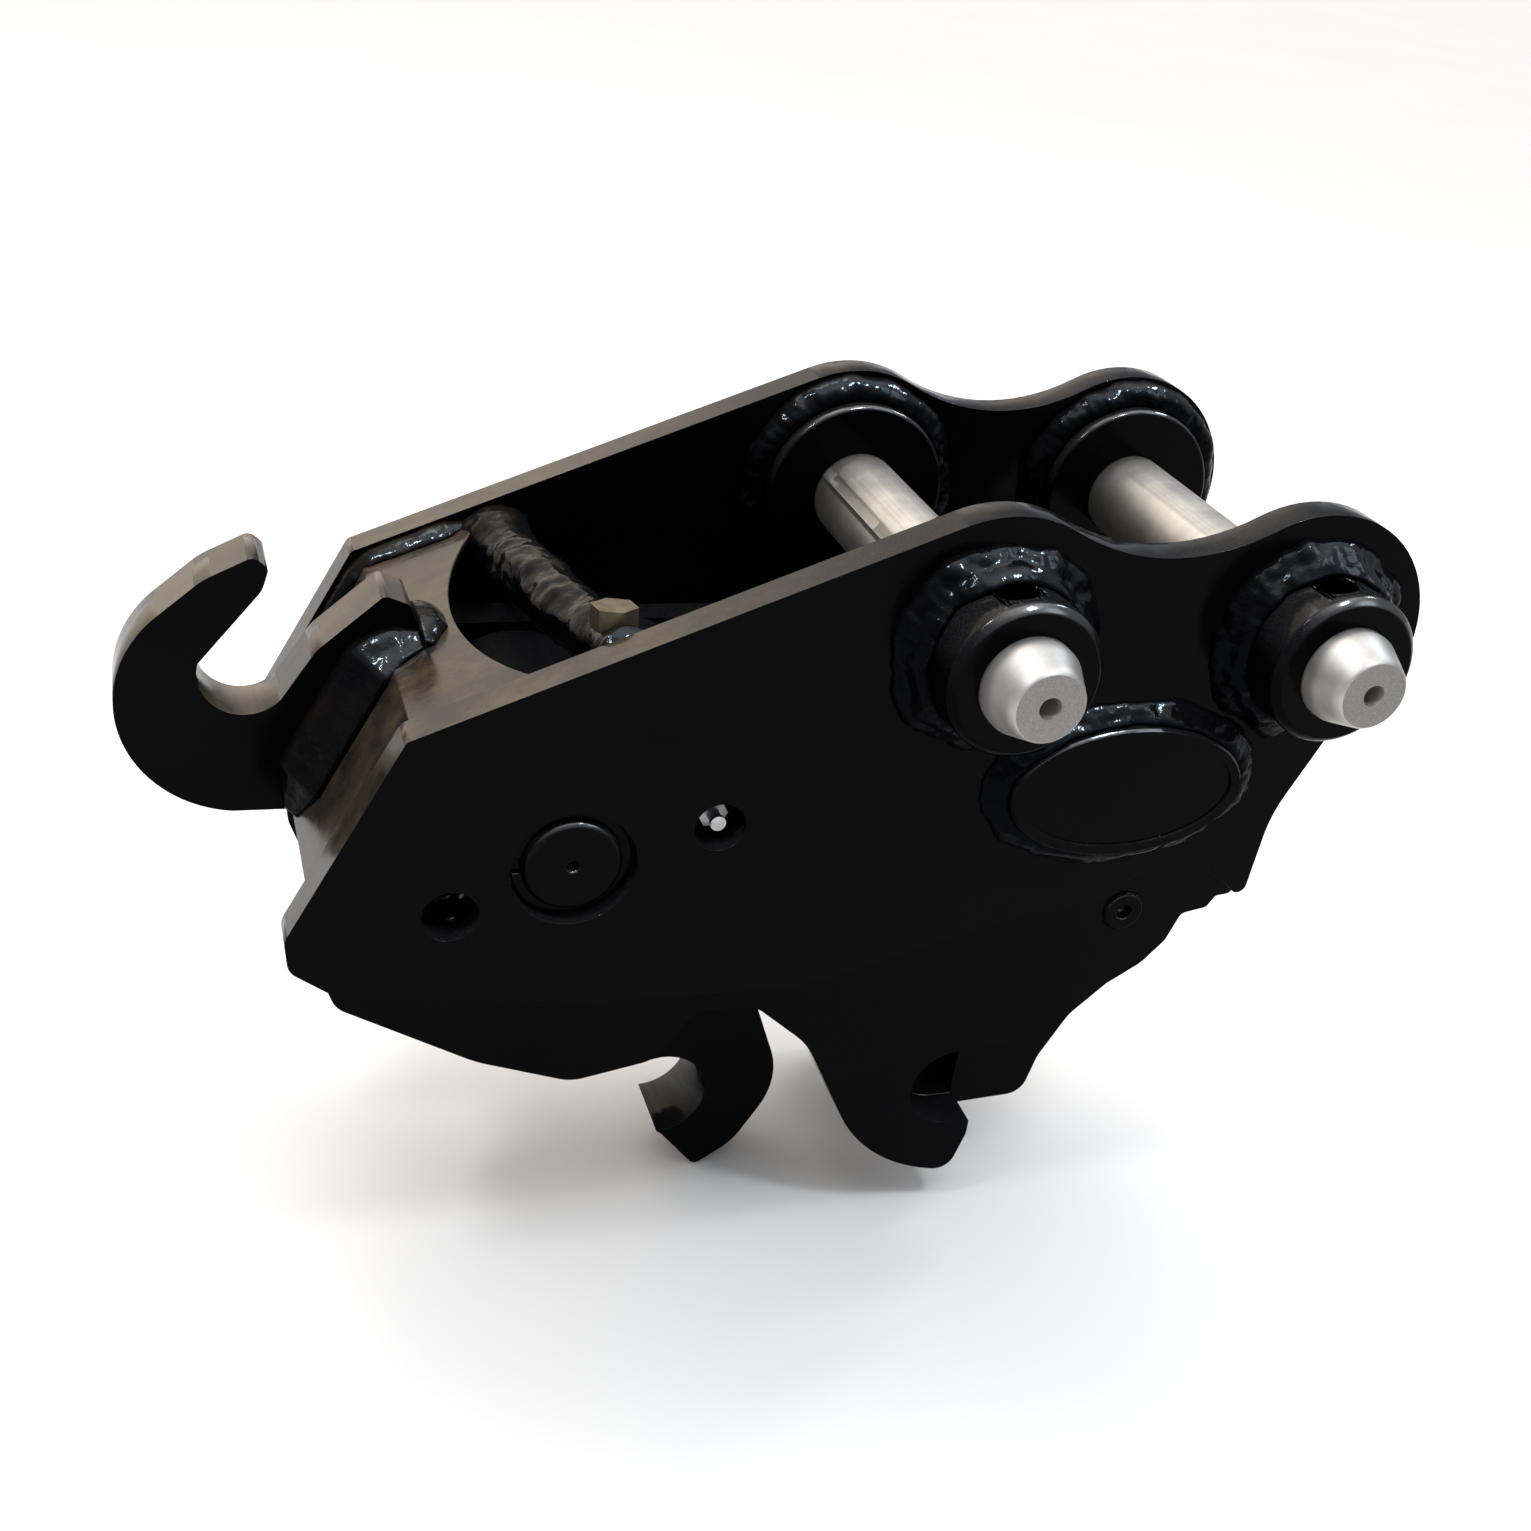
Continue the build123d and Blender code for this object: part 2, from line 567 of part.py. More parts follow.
with BuildPart() as grease_nipples:
    for side in SIDES:
        with BuildSketch(wall_plane(side, SIDE_IN, NIPPLE_HEX_END)):
            with Locations((NIPPLE_X, NIPPLE_Z)):
                RegularPolygon(NIPPLE_HEX / 2, 6, major_radius=False)
        extrude(amount=NIPPLE_HEX_T)
        for radius, inner, outer in NIPPLE_STEPS:
            with BuildSketch(wall_plane(side, inner, outer)):
                with Locations((NIPPLE_X, NIPPLE_Z)):
                    Circle(radius)
            extrude(amount=outer - inner)
grease_nipples.part.label = "grease_nipples"
export_step(grease_nipples.part, "parts/grease_nipples.step")

# --- Moving hook: blade, hub tube, bushes -----------------------------------------------------
ROD_EYE_R = 19.5         # round the rod pin's hole in the blade

with BuildPart() as moving_hook:
    with BuildSketch(Plane.XZ):
        with BuildLine():
            ThreePointArc(
                (GRAB_X - 6, GRAB_Z + GRAB_R), (GRAB_X + GRAB_R, GRAB_Z), (GRAB_X, GRAB_Z - GRAB_R)
            )
            FilletPolyline(
                (GRAB_X, GRAB_Z - GRAB_R),
                (-86, -295),
                (-68, -316.5),
                (-49.5, -304),
                (-29, -268),
                (-47, -221),
                (-64, -200),
                (-90, -186),
                (-101, -173),
                (-110, -170),
                (-98, -150),
                (-101, -128),
                (-124, -90),
                (PIVOT_X, PIVOT_Z),
                (-193, -100),
                (-150, -170),
                (-121, -236),
                (-112, GRAB_Z + GRAB_R),
                (GRAB_X - 6, GRAB_Z + GRAB_R),
                radius=[1, 4, 30, 40, 30, 12, 12, 4, 4, 12, 10, 6, 1, 1, 40, 20, 4],
            )
        make_face()
        with Locations((ROD_X, ROD_Z)):
            Circle(ROD_EYE_R)
            Circle(ROD_PIN_R + RUN, mode=Mode.SUBTRACT)
        with Locations((PIVOT_X, PIVOT_Z)):
            Circle(HUB_R, mode=Mode.SUBTRACT)
    extrude(amount=BLADE_HALF, both=True)
moving_hook.part.label = "moving_hook"
export_step(moving_hook.part, "parts/moving_hook.step")

with BuildPart() as hook_hub:
    with BuildSketch(Plane.XZ):
        with Locations((PIVOT_X, PIVOT_Z)):
            Circle(HUB_R)
            Circle(BUSH_OUT_R, mode=Mode.SUBTRACT)
    extrude(amount=HUB_HALF, both=True)
    chamfer(hook_hub.edges().filter_by(GeomType.CIRCLE).sort_by(SortBy.RADIUS)[-2:], HUB_CHAMFER)
hook_hub.part.label = "hook_hub"
export_step(hook_hub.part, "parts/hook_hub.step")

with BuildPart() as hook_bushes:
    for side in SIDES:
        with BuildSketch(wall_plane(side, HUB_HALF - BUSH_L, HUB_HALF)):
            with Locations((PIVOT_X, PIVOT_Z)):
                Circle(BUSH_OUT_R)
                Circle(BUSH_BORE_R, mode=Mode.SUBTRACT)
        extrude(amount=BUSH_L)
hook_bushes.part.label = "hook_bushes"
export_step(hook_bushes.part, "parts/hook_bushes.step")

# --- Cylinder: barrel, base eye, gland, ports; it floats between the front lock and the hook --
BARREL_R, BARREL_BORE = 29.0, 22.5
CAP_START, BARREL_START = 21.0, 32.0   # distances from the base pin towards the rod pin
CAP_SPIGOT_END = 38.0
BARREL_END = 146.0
GLAND_END = 156.0
GLAND_SPIGOT_START = 134.0
PISTON_START, PISTON_END = 108.0, 130.0
ROD_R = 12.5
EYE_R, EYE_HALF = 17.0, 22.0
CLEVIS_START, CLEVIS_END = 187.0, 204.0
CLEVIS_SLOT = BLADE_HALF + 1.2
CLEVIS_OUT = 31.0
CLEVIS_R = 18.0
CLEVIS_HOLE_R = 12.4     # loose on the rod pin, so both hooks can close fully
CLEVIS_HIGH = 14.0       # half height of the block that the rod screws into
WIPER_R, WIPER_BORE_R = 15.5, 12.55
WIPER_SEAT, WIPER_T = 4.0, 5.0         # depth of its seat in the gland, and its own length
PORT_AT = (43.0, 129.0)  # distances from the base pin of the two ports
PORT_R = 4.0
PORT_SEAT = 24.0         # height above the axis where an adapter starts
PORT_HEX, PORT_HEX_T = 16.0, 7.0
PORT_NECK, PORT_NECK_R, PORT_NECK_BORE_R = 9.0, 6.0, 3.0
base_pin_at = Vector(BASE_X, 0, BASE_Z)
along_cylinder = Vector(*CYL_DIR)
cylinder_axis = Axis(base_pin_at, along_cylinder)
cylinder_profile = Plane(base_pin_at, x_dir=along_cylinder, z_dir=(0, -1, 0))


def cylinder_section(distance):
    """Plane square to the cylinder, with local X along Y, at a distance from the base pin."""
    return Plane(base_pin_at + along_cylinder * distance, x_dir=(0, 1, 0), z_dir=along_cylinder)


def port_plane(distance, height):
    """Plane square to a port on the barrel's upper side, at a height above the axis."""
    foot = base_pin_at + along_cylinder * distance
    return Plane(foot + Vector(*CYL_UP) * height, x_dir=(0, 1, 0), z_dir=CYL_UP)


with BuildPart() as cylinder_barrel:
    with BuildSketch(cylinder_section(BARREL_START)):
        Circle(BARREL_R)
        Circle(BARREL_BORE, mode=Mode.SUBTRACT)
    extrude(amount=BARREL_END - BARREL_START)
    for distance in PORT_AT:
        with BuildSketch(port_plane(distance, 0)):
            Circle(PORT_R)
        extrude(amount=2 * BARREL_R, mode=Mode.SUBTRACT)
cylinder_barrel.part.label = "cylinder_barrel"
export_step(cylinder_barrel.part, "parts/cylinder_barrel.step")

with BuildPart() as cylinder_base_eye:
    with BuildSketch(cylinder_section(CAP_START)):
        Circle(BARREL_R)
    extrude(amount=BARREL_START - CAP_START)
    with BuildSketch(cylinder_section(BARREL_START)):
        Circle(BARREL_BORE)
    extrude(amount=CAP_SPIGOT_END - BARREL_START)
    with BuildSketch(cylinder_section(0)):
        Rectangle(2 * EYE_HALF, 2 * EYE_R)
    extrude(amount=CAP_START)
    with BuildSketch(Plane.XZ):
        with Locations((BASE_X, BASE_Z)):
            Circle(EYE_R)
    extrude(amount=EYE_HALF, both=True)
    with BuildSketch(Plane.XZ):
        with Locations((BASE_X, BASE_Z)):
            Circle(BASE_R + RUN)
    extrude(amount=EYE_HALF, both=True, mode=Mode.SUBTRACT)
cylinder_base_eye.part.label = "cylinder_base_eye"
export_step(cylinder_base_eye.part, "parts/cylinder_base_eye.step")

with BuildPart() as cylinder_gland:
    with BuildSketch(cylinder_section(BARREL_END)):
        Circle(BARREL_R)
    extrude(amount=GLAND_END - BARREL_END)
    with BuildSketch(cylinder_section(GLAND_SPIGOT_START)):
        Circle(BARREL_BORE)
    extrude(amount=BARREL_END - GLAND_SPIGOT_START)
    with BuildSketch(cylinder_section(GLAND_SPIGOT_START)):
        Circle(ROD_R + RUN)
    extrude(amount=GLAND_END - GLAND_SPIGOT_START, mode=Mode.SUBTRACT)
    with BuildSketch(cylinder_section(GLAND_END - WIPER_SEAT)):
        Circle(WIPER_R)
    extrude(amount=WIPER_SEAT, mode=Mode.SUBTRACT)
cylinder_gland.part.label = "cylinder_gland"
export_step(cylinder_gland.part, "parts/cylinder_gland.step")

with BuildPart() as rod_wiper:
    with BuildSketch(cylinder_section(GLAND_END - WIPER_SEAT)):
        Circle(WIPER_R)
        Circle(WIPER_BORE_R, mode=Mode.SUBTRACT)
    extrude(amount=WIPER_T)
rod_wiper.part.label = "rod_wiper"
export_step(rod_wiper.part, "parts/rod_wiper.step")

with BuildPart() as port_adapters:
    for distance in PORT_AT:
        with BuildSketch(port_plane(distance, PORT_SEAT)):
            Circle(PORT_R)
        extrude(amount=BARREL_R + PORT_HEX_T - PORT_SEAT)
        with BuildSketch(port_plane(distance, BARREL_R)):
            RegularPolygon(PORT_HEX / 2, 6, major_radius=False)
        extrude(amount=PORT_HEX_T)
        with BuildSketch(port_plane(distance, BARREL_R + PORT_HEX_T)):
            Circle(PORT_NECK_R)
            Circle(PORT_NECK_BORE_R, mode=Mode.SUBTRACT)
        extrude(amount=PORT_NECK)
port_adapters.part.label = "port_adapters"
export_step(port_adapters.part, "parts/port_adapters.step")

# --- Piston, rod and clevis --------------------------------------------------------------------
ROD_SPIGOT_R = 8.0       # ends of the rod, screwed into the piston and the clevis
ROD_SPIGOT_START, ROD_SPIGOT_END = 104.0, 202.0
PISTON_R, PISTON_CHAMFER = BARREL_BORE - 0.05, 1.0
SEAL_R, SEAL_GROOVE_R = BARREL_BORE - 0.04, 18.5
SEAL_START, SEAL_END = 116.0, 122.0

with BuildPart() as piston:
    with BuildSketch(cylinder_profile):
        with BuildLine():
            Polyline(
                (PISTON_START, ROD_SPIGOT_R),
                (PISTON_START, PISTON_R - PISTON_CHAMFER),
                (PISTON_START + PISTON_CHAMFER, PISTON_R),
                (SEAL_START, PISTON_R),
                (SEAL_START, SEAL_GROOVE_R),
                (SEAL_END, SEAL_GROOVE_R),
                (SEAL_END, PISTON_R),
                (PISTON_END - PISTON_CHAMFER, PISTON_R),
                (PISTON_END, PISTON_R - PISTON_CHAMFER),
                (PISTON_END, ROD_SPIGOT_R),
                close=True,
            )
        make_face()
    revolve(axis=cylinder_axis)
piston.part.label = "piston"
export_step(piston.part, "parts/piston.step")

with BuildPart() as piston_seal:
    with BuildSketch(cylinder_section(SEAL_START)):
        Circle(SEAL_R)
        Circle(SEAL_GROOVE_R, mode=Mode.SUBTRACT)
    extrude(amount=SEAL_END - SEAL_START)
piston_seal.part.label = "piston_seal"
export_step(piston_seal.part, "parts/piston_seal.step")

with BuildPart() as piston_rod:
    with BuildSketch(cylinder_section(ROD_SPIGOT_START)):
        Circle(ROD_SPIGOT_R)
    extrude(amount=PISTON_END - ROD_SPIGOT_START)
    with BuildSketch(cylinder_section(PISTON_END)):
        Circle(ROD_R)
    extrude(amount=CLEVIS_START - PISTON_END)
    with BuildSketch(cylinder_section(CLEVIS_START)):
        Circle(ROD_SPIGOT_R)
    extrude(amount=ROD_SPIGOT_END - CLEVIS_START)
piston_rod.part.label = "piston_rod"
export_step(piston_rod.part, "parts/piston_rod.step")

with BuildPart() as rod_clevis:
    with BuildSketch(cylinder_section(CLEVIS_START)):
        Rectangle(2 * CLEVIS_OUT, 2 * CLEVIS_HIGH)
    extrude(amount=CLEVIS_END - CLEVIS_START)
    for side in SIDES:
        with BuildSketch(wall_plane(side, CLEVIS_SLOT, CLEVIS_OUT)):
            with Locations((ROD_X, ROD_Z)):
                Circle(CLEVIS_R)
            with Locations(Location((ROD_X, ROD_Z), CYL_TILT)):
                Rectangle(ROD_REACH - CLEVIS_END + 1, 2 * CLEVIS_HIGH, align=(Align.MIN, Align.CENTER))
        extrude(amount=CLEVIS_OUT - CLEVIS_SLOT)
        with BuildSketch(wall_plane(side, CLEVIS_SLOT, CLEVIS_OUT)):
            with Locations((ROD_X, ROD_Z)):
                Circle(CLEVIS_HOLE_R)
        extrude(amount=CLEVIS_OUT - CLEVIS_SLOT, mode=Mode.SUBTRACT)
    with BuildSketch(cylinder_section(CLEVIS_START)):
        Circle(ROD_SPIGOT_R)
    extrude(amount=ROD_SPIGOT_END - CLEVIS_START, mode=Mode.SUBTRACT)
rod_clevis.part.label = "rod_clevis"
export_step(rod_clevis.part, "parts/rod_clevis.step")

ROD_PIN_HALF, ROD_PIN_CHAMFER = 36.0, 1.0
ROD_RING_R, ROD_RING_T = 14.5, 2.0
ROD_RING_Y = CLEVIS_OUT + 1.0

with BuildPart() as rod_pin:
    with BuildSketch(Plane.XZ):
        with Locations((ROD_X, ROD_Z)):
            Circle(ROD_PIN_R)
    extrude(amount=ROD_PIN_HALF, both=True)
    chamfer(rod_pin.edges().filter_by(GeomType.CIRCLE), ROD_PIN_CHAMFER)
rod_pin.part.label = "rod_pin"
export_step(rod_pin.part, "parts/rod_pin.step")

with BuildPart() as rod_pin_rings:
    for side in SIDES:
        with BuildSketch(wall_plane(side, ROD_RING_Y, ROD_RING_Y + ROD_RING_T)):
            with Locations((ROD_X, ROD_Z)):
                Circle(ROD_RING_R)
                Circle(ROD_PIN_R, mode=Mode.SUBTRACT)
        extrude(amount=ROD_RING_T)
rod_pin_rings.part.label = "rod_pin_rings"
export_step(rod_pin_rings.part, "parts/rod_pin_rings.step")

# --- Front lock: two cheeks, a nose between them and a spacer tube on its pin ------------------
LOCK_IN, LOCK_OUT = 26.0, 40.0
LOCK_FACE_X = 52.0       # face that closes the fixed jaw's mouth, with no pin in it
LOCK_SPACER_R, LOCK_WASHER_R = 14.5, 17.0

for side in SIDES:
    with BuildPart() as lock_cheek:
        with BuildSketch(wall_plane(side, LOCK_IN, LOCK_OUT)):
            with BuildLine():
                cheek = FilletPolyline(
                    (LOCK_FACE_X, -240),
                    (LOCK_FACE_X, -223),
                    (84, -190),
                    (88, -160),
                    (88.5, -98),
                    (119, -98),
                    (126, -140),
                    (129, -185),
                    (128, -208),
                    (108, -228),
                    (96, -252),
                    (91, -274),
                    (LOCK_FACE_X, -276),
                    (LOCK_FACE_X, -260),
                    radius=[12, 20, 20, 14.5, 14.5, 20, 20, 12, 25, 16, 10, 3],
                )
                Line(cheek @ 1, cheek @ 0)
            make_face()
            with Locations((LOCK_X, LOCK_Z)):
                Circle(LOCK_R + RUN, mode=Mode.SUBTRACT)
            with Locations((BASE_X, BASE_Z)):
                Circle(BASE_R, mode=Mode.SUBTRACT)
        extrude(amount=LOCK_OUT - LOCK_IN)
    lock_cheek.part.label = f"lock_cheek_{side}"
    export_step(lock_cheek.part, f"parts/lock_cheek_{side}.step")

with BuildPart() as lock_nose:
    with BuildSketch(Plane.XZ):
        with BuildLine():
            nose = FilletPolyline(
                (LOCK_FACE_X, -240),
                (LOCK_FACE_X, -223),
                (76, -196),
                (112, -196),
                (120, -212),
                (104, -232),
                (93, -250),
                (88, -272),
                (LOCK_FACE_X, -276),
                (LOCK_FACE_X, -260),
                radius=[12, 6, 6, 8, 12, 16, 4, 3],
            )
            Line(nose @ 1, nose @ 0)
        make_face()
    extrude(amount=LOCK_IN, both=True)
lock_nose.part.label = "lock_nose"
export_step(lock_nose.part, "parts/lock_nose.step")

with BuildPart() as lock_spacer:
    with BuildSketch(Plane.XZ):
        with Locations((LOCK_X, LOCK_Z)):
            Circle(LOCK_SPACER_R)
            Circle(LOCK_R + RUN, mode=Mode.SUBTRACT)
    extrude(amount=LOCK_IN, both=True)
lock_spacer.part.label = "lock_spacer"
export_step(lock_spacer.part, "parts/lock_spacer.step")

with BuildPart() as lock_washers:
    for side in SIDES:
        with BuildSketch(wall_plane(side, LOCK_OUT + GAP, HOOK_IN)):
            with Locations((LOCK_X, LOCK_Z)):
                Circle(LOCK_WASHER_R)
                Circle(LOCK_R + RUN, mode=Mode.SUBTRACT)
        extrude(amount=HOOK_IN - LOCK_OUT - GAP)
lock_washers.part.label = "lock_washers"
export_step(lock_washers.part, "parts/lock_washers.step")

LOCK_PIN_HALF = HOOK_OUT + 2.0
LOCK_PIN_CHAMFER = 1.0
SOCKET_R, SOCKET_DEEP, SOCKET_TIP_DEEP = 3.5, 5.0, 7.0  # blind hole in each end of the pin

with BuildPart() as lock_pin:
    with BuildSketch(turning_plane(LOCK_X, LOCK_Z)):
        with BuildLine():
            Polyline(
                (0, 0),
                (0, LOCK_R),
                (LOCK_PIN_HALF - LOCK_PIN_CHAMFER, LOCK_R),
                (LOCK_PIN_HALF, LOCK_R - LOCK_PIN_CHAMFER),
                (LOCK_PIN_HALF, SOCKET_R),
                (LOCK_PIN_HALF - SOCKET_DEEP, SOCKET_R),
                (LOCK_PIN_HALF - SOCKET_TIP_DEEP, 0),
                close=True,
            )
        make_face()
    revolve(axis=turning_axis(LOCK_X, LOCK_Z))
    mirror(about=Plane.XZ)
lock_pin.part.label = "lock_pin"
export_step(lock_pin.part, "parts/lock_pin.step")

with BuildPart() as cylinder_base_pin:
    with BuildSketch(Plane.XZ):
        with Locations((BASE_X, BASE_Z)):
            Circle(BASE_R)
    extrude(amount=LOCK_OUT, both=True)
cylinder_base_pin.part.label = "cylinder_base_pin"
export_step(cylinder_base_pin.part, "parts/cylinder_base_pin.step")
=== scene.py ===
"""Quick coupler: paint, machined steel, weld beads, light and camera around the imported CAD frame."""

import json
import math

import bmesh
import bpy
from mathutils import Matrix, Vector, noise


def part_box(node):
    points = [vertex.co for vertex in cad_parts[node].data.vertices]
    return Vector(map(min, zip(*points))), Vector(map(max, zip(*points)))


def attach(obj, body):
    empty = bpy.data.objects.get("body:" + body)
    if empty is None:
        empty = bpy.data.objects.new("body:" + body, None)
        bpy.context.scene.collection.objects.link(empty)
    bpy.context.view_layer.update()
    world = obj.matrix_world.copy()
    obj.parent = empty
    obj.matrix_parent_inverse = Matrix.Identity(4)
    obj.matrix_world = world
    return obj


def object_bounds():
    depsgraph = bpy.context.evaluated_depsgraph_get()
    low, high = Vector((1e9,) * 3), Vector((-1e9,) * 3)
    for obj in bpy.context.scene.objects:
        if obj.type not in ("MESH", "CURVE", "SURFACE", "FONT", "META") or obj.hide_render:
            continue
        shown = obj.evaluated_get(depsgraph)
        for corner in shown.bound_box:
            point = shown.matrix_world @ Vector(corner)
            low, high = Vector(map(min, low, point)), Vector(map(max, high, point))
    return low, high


MM = 0.001
X, Y, Z = 0, 1, 2

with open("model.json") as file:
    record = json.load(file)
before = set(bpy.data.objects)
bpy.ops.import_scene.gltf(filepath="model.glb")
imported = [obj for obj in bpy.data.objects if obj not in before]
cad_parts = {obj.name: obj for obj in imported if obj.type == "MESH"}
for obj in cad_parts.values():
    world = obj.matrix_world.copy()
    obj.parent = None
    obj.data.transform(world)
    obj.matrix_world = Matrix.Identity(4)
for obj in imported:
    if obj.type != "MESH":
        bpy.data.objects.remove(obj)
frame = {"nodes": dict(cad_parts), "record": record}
cad_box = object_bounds()
nodes = frame["nodes"]


# --- Places read from the frame -------------------------------------------------------------

def centre(node):
    low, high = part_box(node)
    return (low + high) / 2


def half_size(node):
    low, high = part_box(node)
    return (high - low) / 2


def far_corner(node, direction):
    """The node's vertex that lies farthest along a direction."""
    way = Vector(direction)
    return max((v.co for v in nodes[node].data.vertices), key=way.dot).copy()


SIDES = {"right": -1, "left": 1}
ARM = Vector((0, 0, 0))
LINK = centre("link_collar_right")
LINK.y = 0
PIVOT = centre("pivot_pin")
PAD = centre("oval_pad_right")
PAD_HALF = half_size("oval_pad_left")
SIDE_IN = abs(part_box("side_plate_left")[0].y)
SIDE_OUT = abs(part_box("side_plate_left")[1].y)
COLLAR_R = half_size("arm_collar_left").x
BOSS_R = half_size("arm_boss_left").x
HUB_R = half_size("hook_hub").x
BLADE_HALF = half_size("moving_hook").y
LIFTING_HALF = half_size("lifting_hook").y
LOBE_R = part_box("side_plate_right")[1].x - LINK.x

# Corners of the bent tail plate's outer face, and the outward normals of its two flats.
TAIL_FOOT = far_corner("tail_plate", (-1, 0, -0.3))
TAIL_BEND = far_corner("tail_plate", (-0.8, 0, 0.6))
CAP_END = far_corner("tail_plate", (0.2, 0, 1))
TAIL_OUT = Vector((TAIL_FOOT.z - TAIL_BEND.z, 0, TAIL_BEND.x - TAIL_FOOT.x)).normalized()
CAP_OUT = Vector((TAIL_BEND.z - CAP_END.z, 0, CAP_END.x - TAIL_BEND.x)).normalized()


# --- Looks ------------------------------------------------------------------------------------
# Bumps are (noise scale, detail, roughness, distance, strength). An index pair is for faces that
# look sideways and for faces that look up. Shares run from 0 to 1; one share is of the brown painted
# reflection round the tail, the other of grey dust that also paints a sheen on top.
FLAT_ENAMEL = {
    "painted_reflection_share": 1.0,
    "dust_and_sheen_share": 0.8,
    "gloss": (0.10, 0.20),
    "index": (1.08, 1.21),
    "glint_index": 0.8,
    "tint": (1.0, 1.0, 1.0, 1),
    "bumps": (
        (24, 3, 0.5, 1.6 * MM, 0.25),
        (420, 2, 0.5, 0.05 * MM, 0.4),
        (1300, 2, 0.7, 0.02 * MM, 0.3),
    ),
}
WELD_ENAMEL = {
    "painted_reflection_share": 0.15,
    "dust_and_sheen_share": 0.3,
    "gloss": (0.05, 0.12),
    "index": (1.09, 1.11),
    "glint_index": 0.35,
    "tint": (0.72, 0.86, 1.0, 1),
    "bumps": ((110, 2, 0.5, 1.2 * MM, 0.6), (330, 2, 0.5, 0.5 * MM, 0.5)),
}
BLACK_DEEP = (0.0006, 0.0006, 0.0009, 1)
BLACK_PALE = (0.0018, 0.0017, 0.0022, 1)
# grey on faces that look up: part dust, part painted sheen for the light those faces reflect
DUST_AND_SHEEN_GREY = (0.030, 0.030, 0.032, 1)
# painted reflection: brown standing in for the warm light that the faces round the tail reflect
PAINTED_REFLECTION_BROWN = (0.065, 0.046, 0.027, 1)
PAINTED_REFLECTION_REAR, PAINTED_REFLECTION_FRONT = -150 * MM, -45 * MM   # the painted reflection fades out between these places along X
PAINTED_REFLECTION_DEPTH = (-2.5 * MM, -0.5 * MM)           # and this close below the tail plate's outer face
# gloss and roughness added where the brown painted reflection lies
PAINTED_REFLECTION_INDEX = 0.15
PAINTED_REFLECTION_ROUGH = 0.12

STEEL = (0.52, 0.505, 0.48, 1)
STEEL_HANDLED = 0.72                          # brightness left where the steel was handled
STEEL_END_DARK = (0.25, 0.245, 0.24, 1)
STEEL_END_PALE = (0.40, 0.39, 0.38, 1)
LATHE_RINGS = (18, 2600, 18)                  # noise stretched into rings across the pins' axis
TARNISHED = 0.5                               # brightness left in the tarnish of small metal parts
RUBBER_DARK = (0.012, 0.012, 0.012, 1)
RUBBER_PALE = (0.03, 0.03, 0.03, 1)
FLOOR_DARK = (0.80, 0.80, 0.80, 1)
FLOOR_PALE = (0.84, 0.84, 0.84, 1)


# --- Node helpers -------------------------------------------------------------------------------

class Nodes:
    """Builds one material's node tree in short lines."""

    def __init__(self, name):
        self.material = bpy.data.materials.new(name)
        self.material.use_nodes = True
        self.tree = self.material.node_tree
        self.tree.nodes.clear()
        self.shader = self.add("ShaderNodeBsdfPrincipled")
        output = self.add("ShaderNodeOutputMaterial")
        self.link(self.shader.outputs[0], output.inputs[0])
        self.place = self.add("ShaderNodeTexCoord").outputs["Object"]

    def add(self, kind, **values):
        node = self.tree.nodes.new(kind)
        for key, value in values.items():
            setattr(node, key, value)
        return node

    def link(self, source, target):
        self.tree.links.new(source, target)

    def put(self, socket, value):
        """Links a node's output to a socket, or sets a plain value on it."""
        if isinstance(value, bpy.types.NodeSocket):
            self.link(value, socket)
        else:
            socket.default_value = value

    def noise(self, scale, detail=3.0, roughness=0.5, stretch=(1, 1, 1)):
        mapping = self.add("ShaderNodeMapping")
        self.link(self.place, mapping.inputs["Vector"])
        mapping.inputs["Scale"].default_value = stretch
        texture = self.add("ShaderNodeTexNoise")
        self.link(mapping.outputs[0], texture.inputs["Vector"])
        texture.inputs["Scale"].default_value = scale
        texture.inputs["Detail"].default_value = detail
        texture.inputs["Roughness"].default_value = roughness
        return texture.outputs["Fac"]

    def ramp(self, value, low, high, out_low=0.0, out_high=1.0):
        node = self.add("ShaderNodeMapRange")
        for index, item in enumerate((value, low, high, out_low, out_high)):
            self.put(node.inputs[index], item)
        return node.outputs[0]

    def math(self, operation, first, second=0.0):
        node = self.add("ShaderNodeMath", operation=operation)
        self.put(node.inputs[0], first)
        self.put(node.inputs[1], second)
        return node.outputs[0]

    def mix(self, factor, first, second):
        node = self.add("ShaderNodeMix", data_type="RGBA")
        factor_in, first_in, second_in = node.inputs[0], node.inputs[6], node.inputs[7]
        self.put(factor_in, factor)
        self.put(first_in, first)
        self.put(second_in, second)
        return node.outputs[2]

    def facing(self, axis):
        """Part of the surface normal along X, Y or Z, in the object's own axes."""
        split = self.add("ShaderNodeSeparateXYZ")
        self.link(self.add("ShaderNodeTexCoord").outputs["Normal"], split.inputs[0])
        return split.outputs[axis]

    def beyond(self, way, start):
        """Distance in metres past a plane through the point start, square to way."""
        dot = self.add("ShaderNodeVectorMath", operation="DOT_PRODUCT")
        self.link(self.place, dot.inputs[0])
        dot.inputs[1].default_value = way
        return self.math("SUBTRACT", dot.outputs["Value"], way.dot(start))

    def bump(self, *layers):
        """Stacks (height, distance in metres, strength) layers into the shader's normal."""
        normal = None
        for height, distance, strength in layers:
            node = self.add("ShaderNodeBump")
            node.inputs["Strength"].default_value = strength
            node.inputs["Distance"].default_value = distance
            self.link(height, node.inputs["Height"])
            if normal is not None:
                self.link(normal, node.inputs["Normal"])
            normal = node.outputs[0]
        self.link(normal, self.shader.inputs["Normal"])

    def surface(self, colour, roughness, metallic=0.0):
        self.put(self.shader.inputs["Base Color"], colour)
        self.put(self.shader.inputs["Roughness"], roughness)
        self.shader.inputs["Metallic"].default_value = metallic


# --- Materials ----------------------------------------------------------------------------------

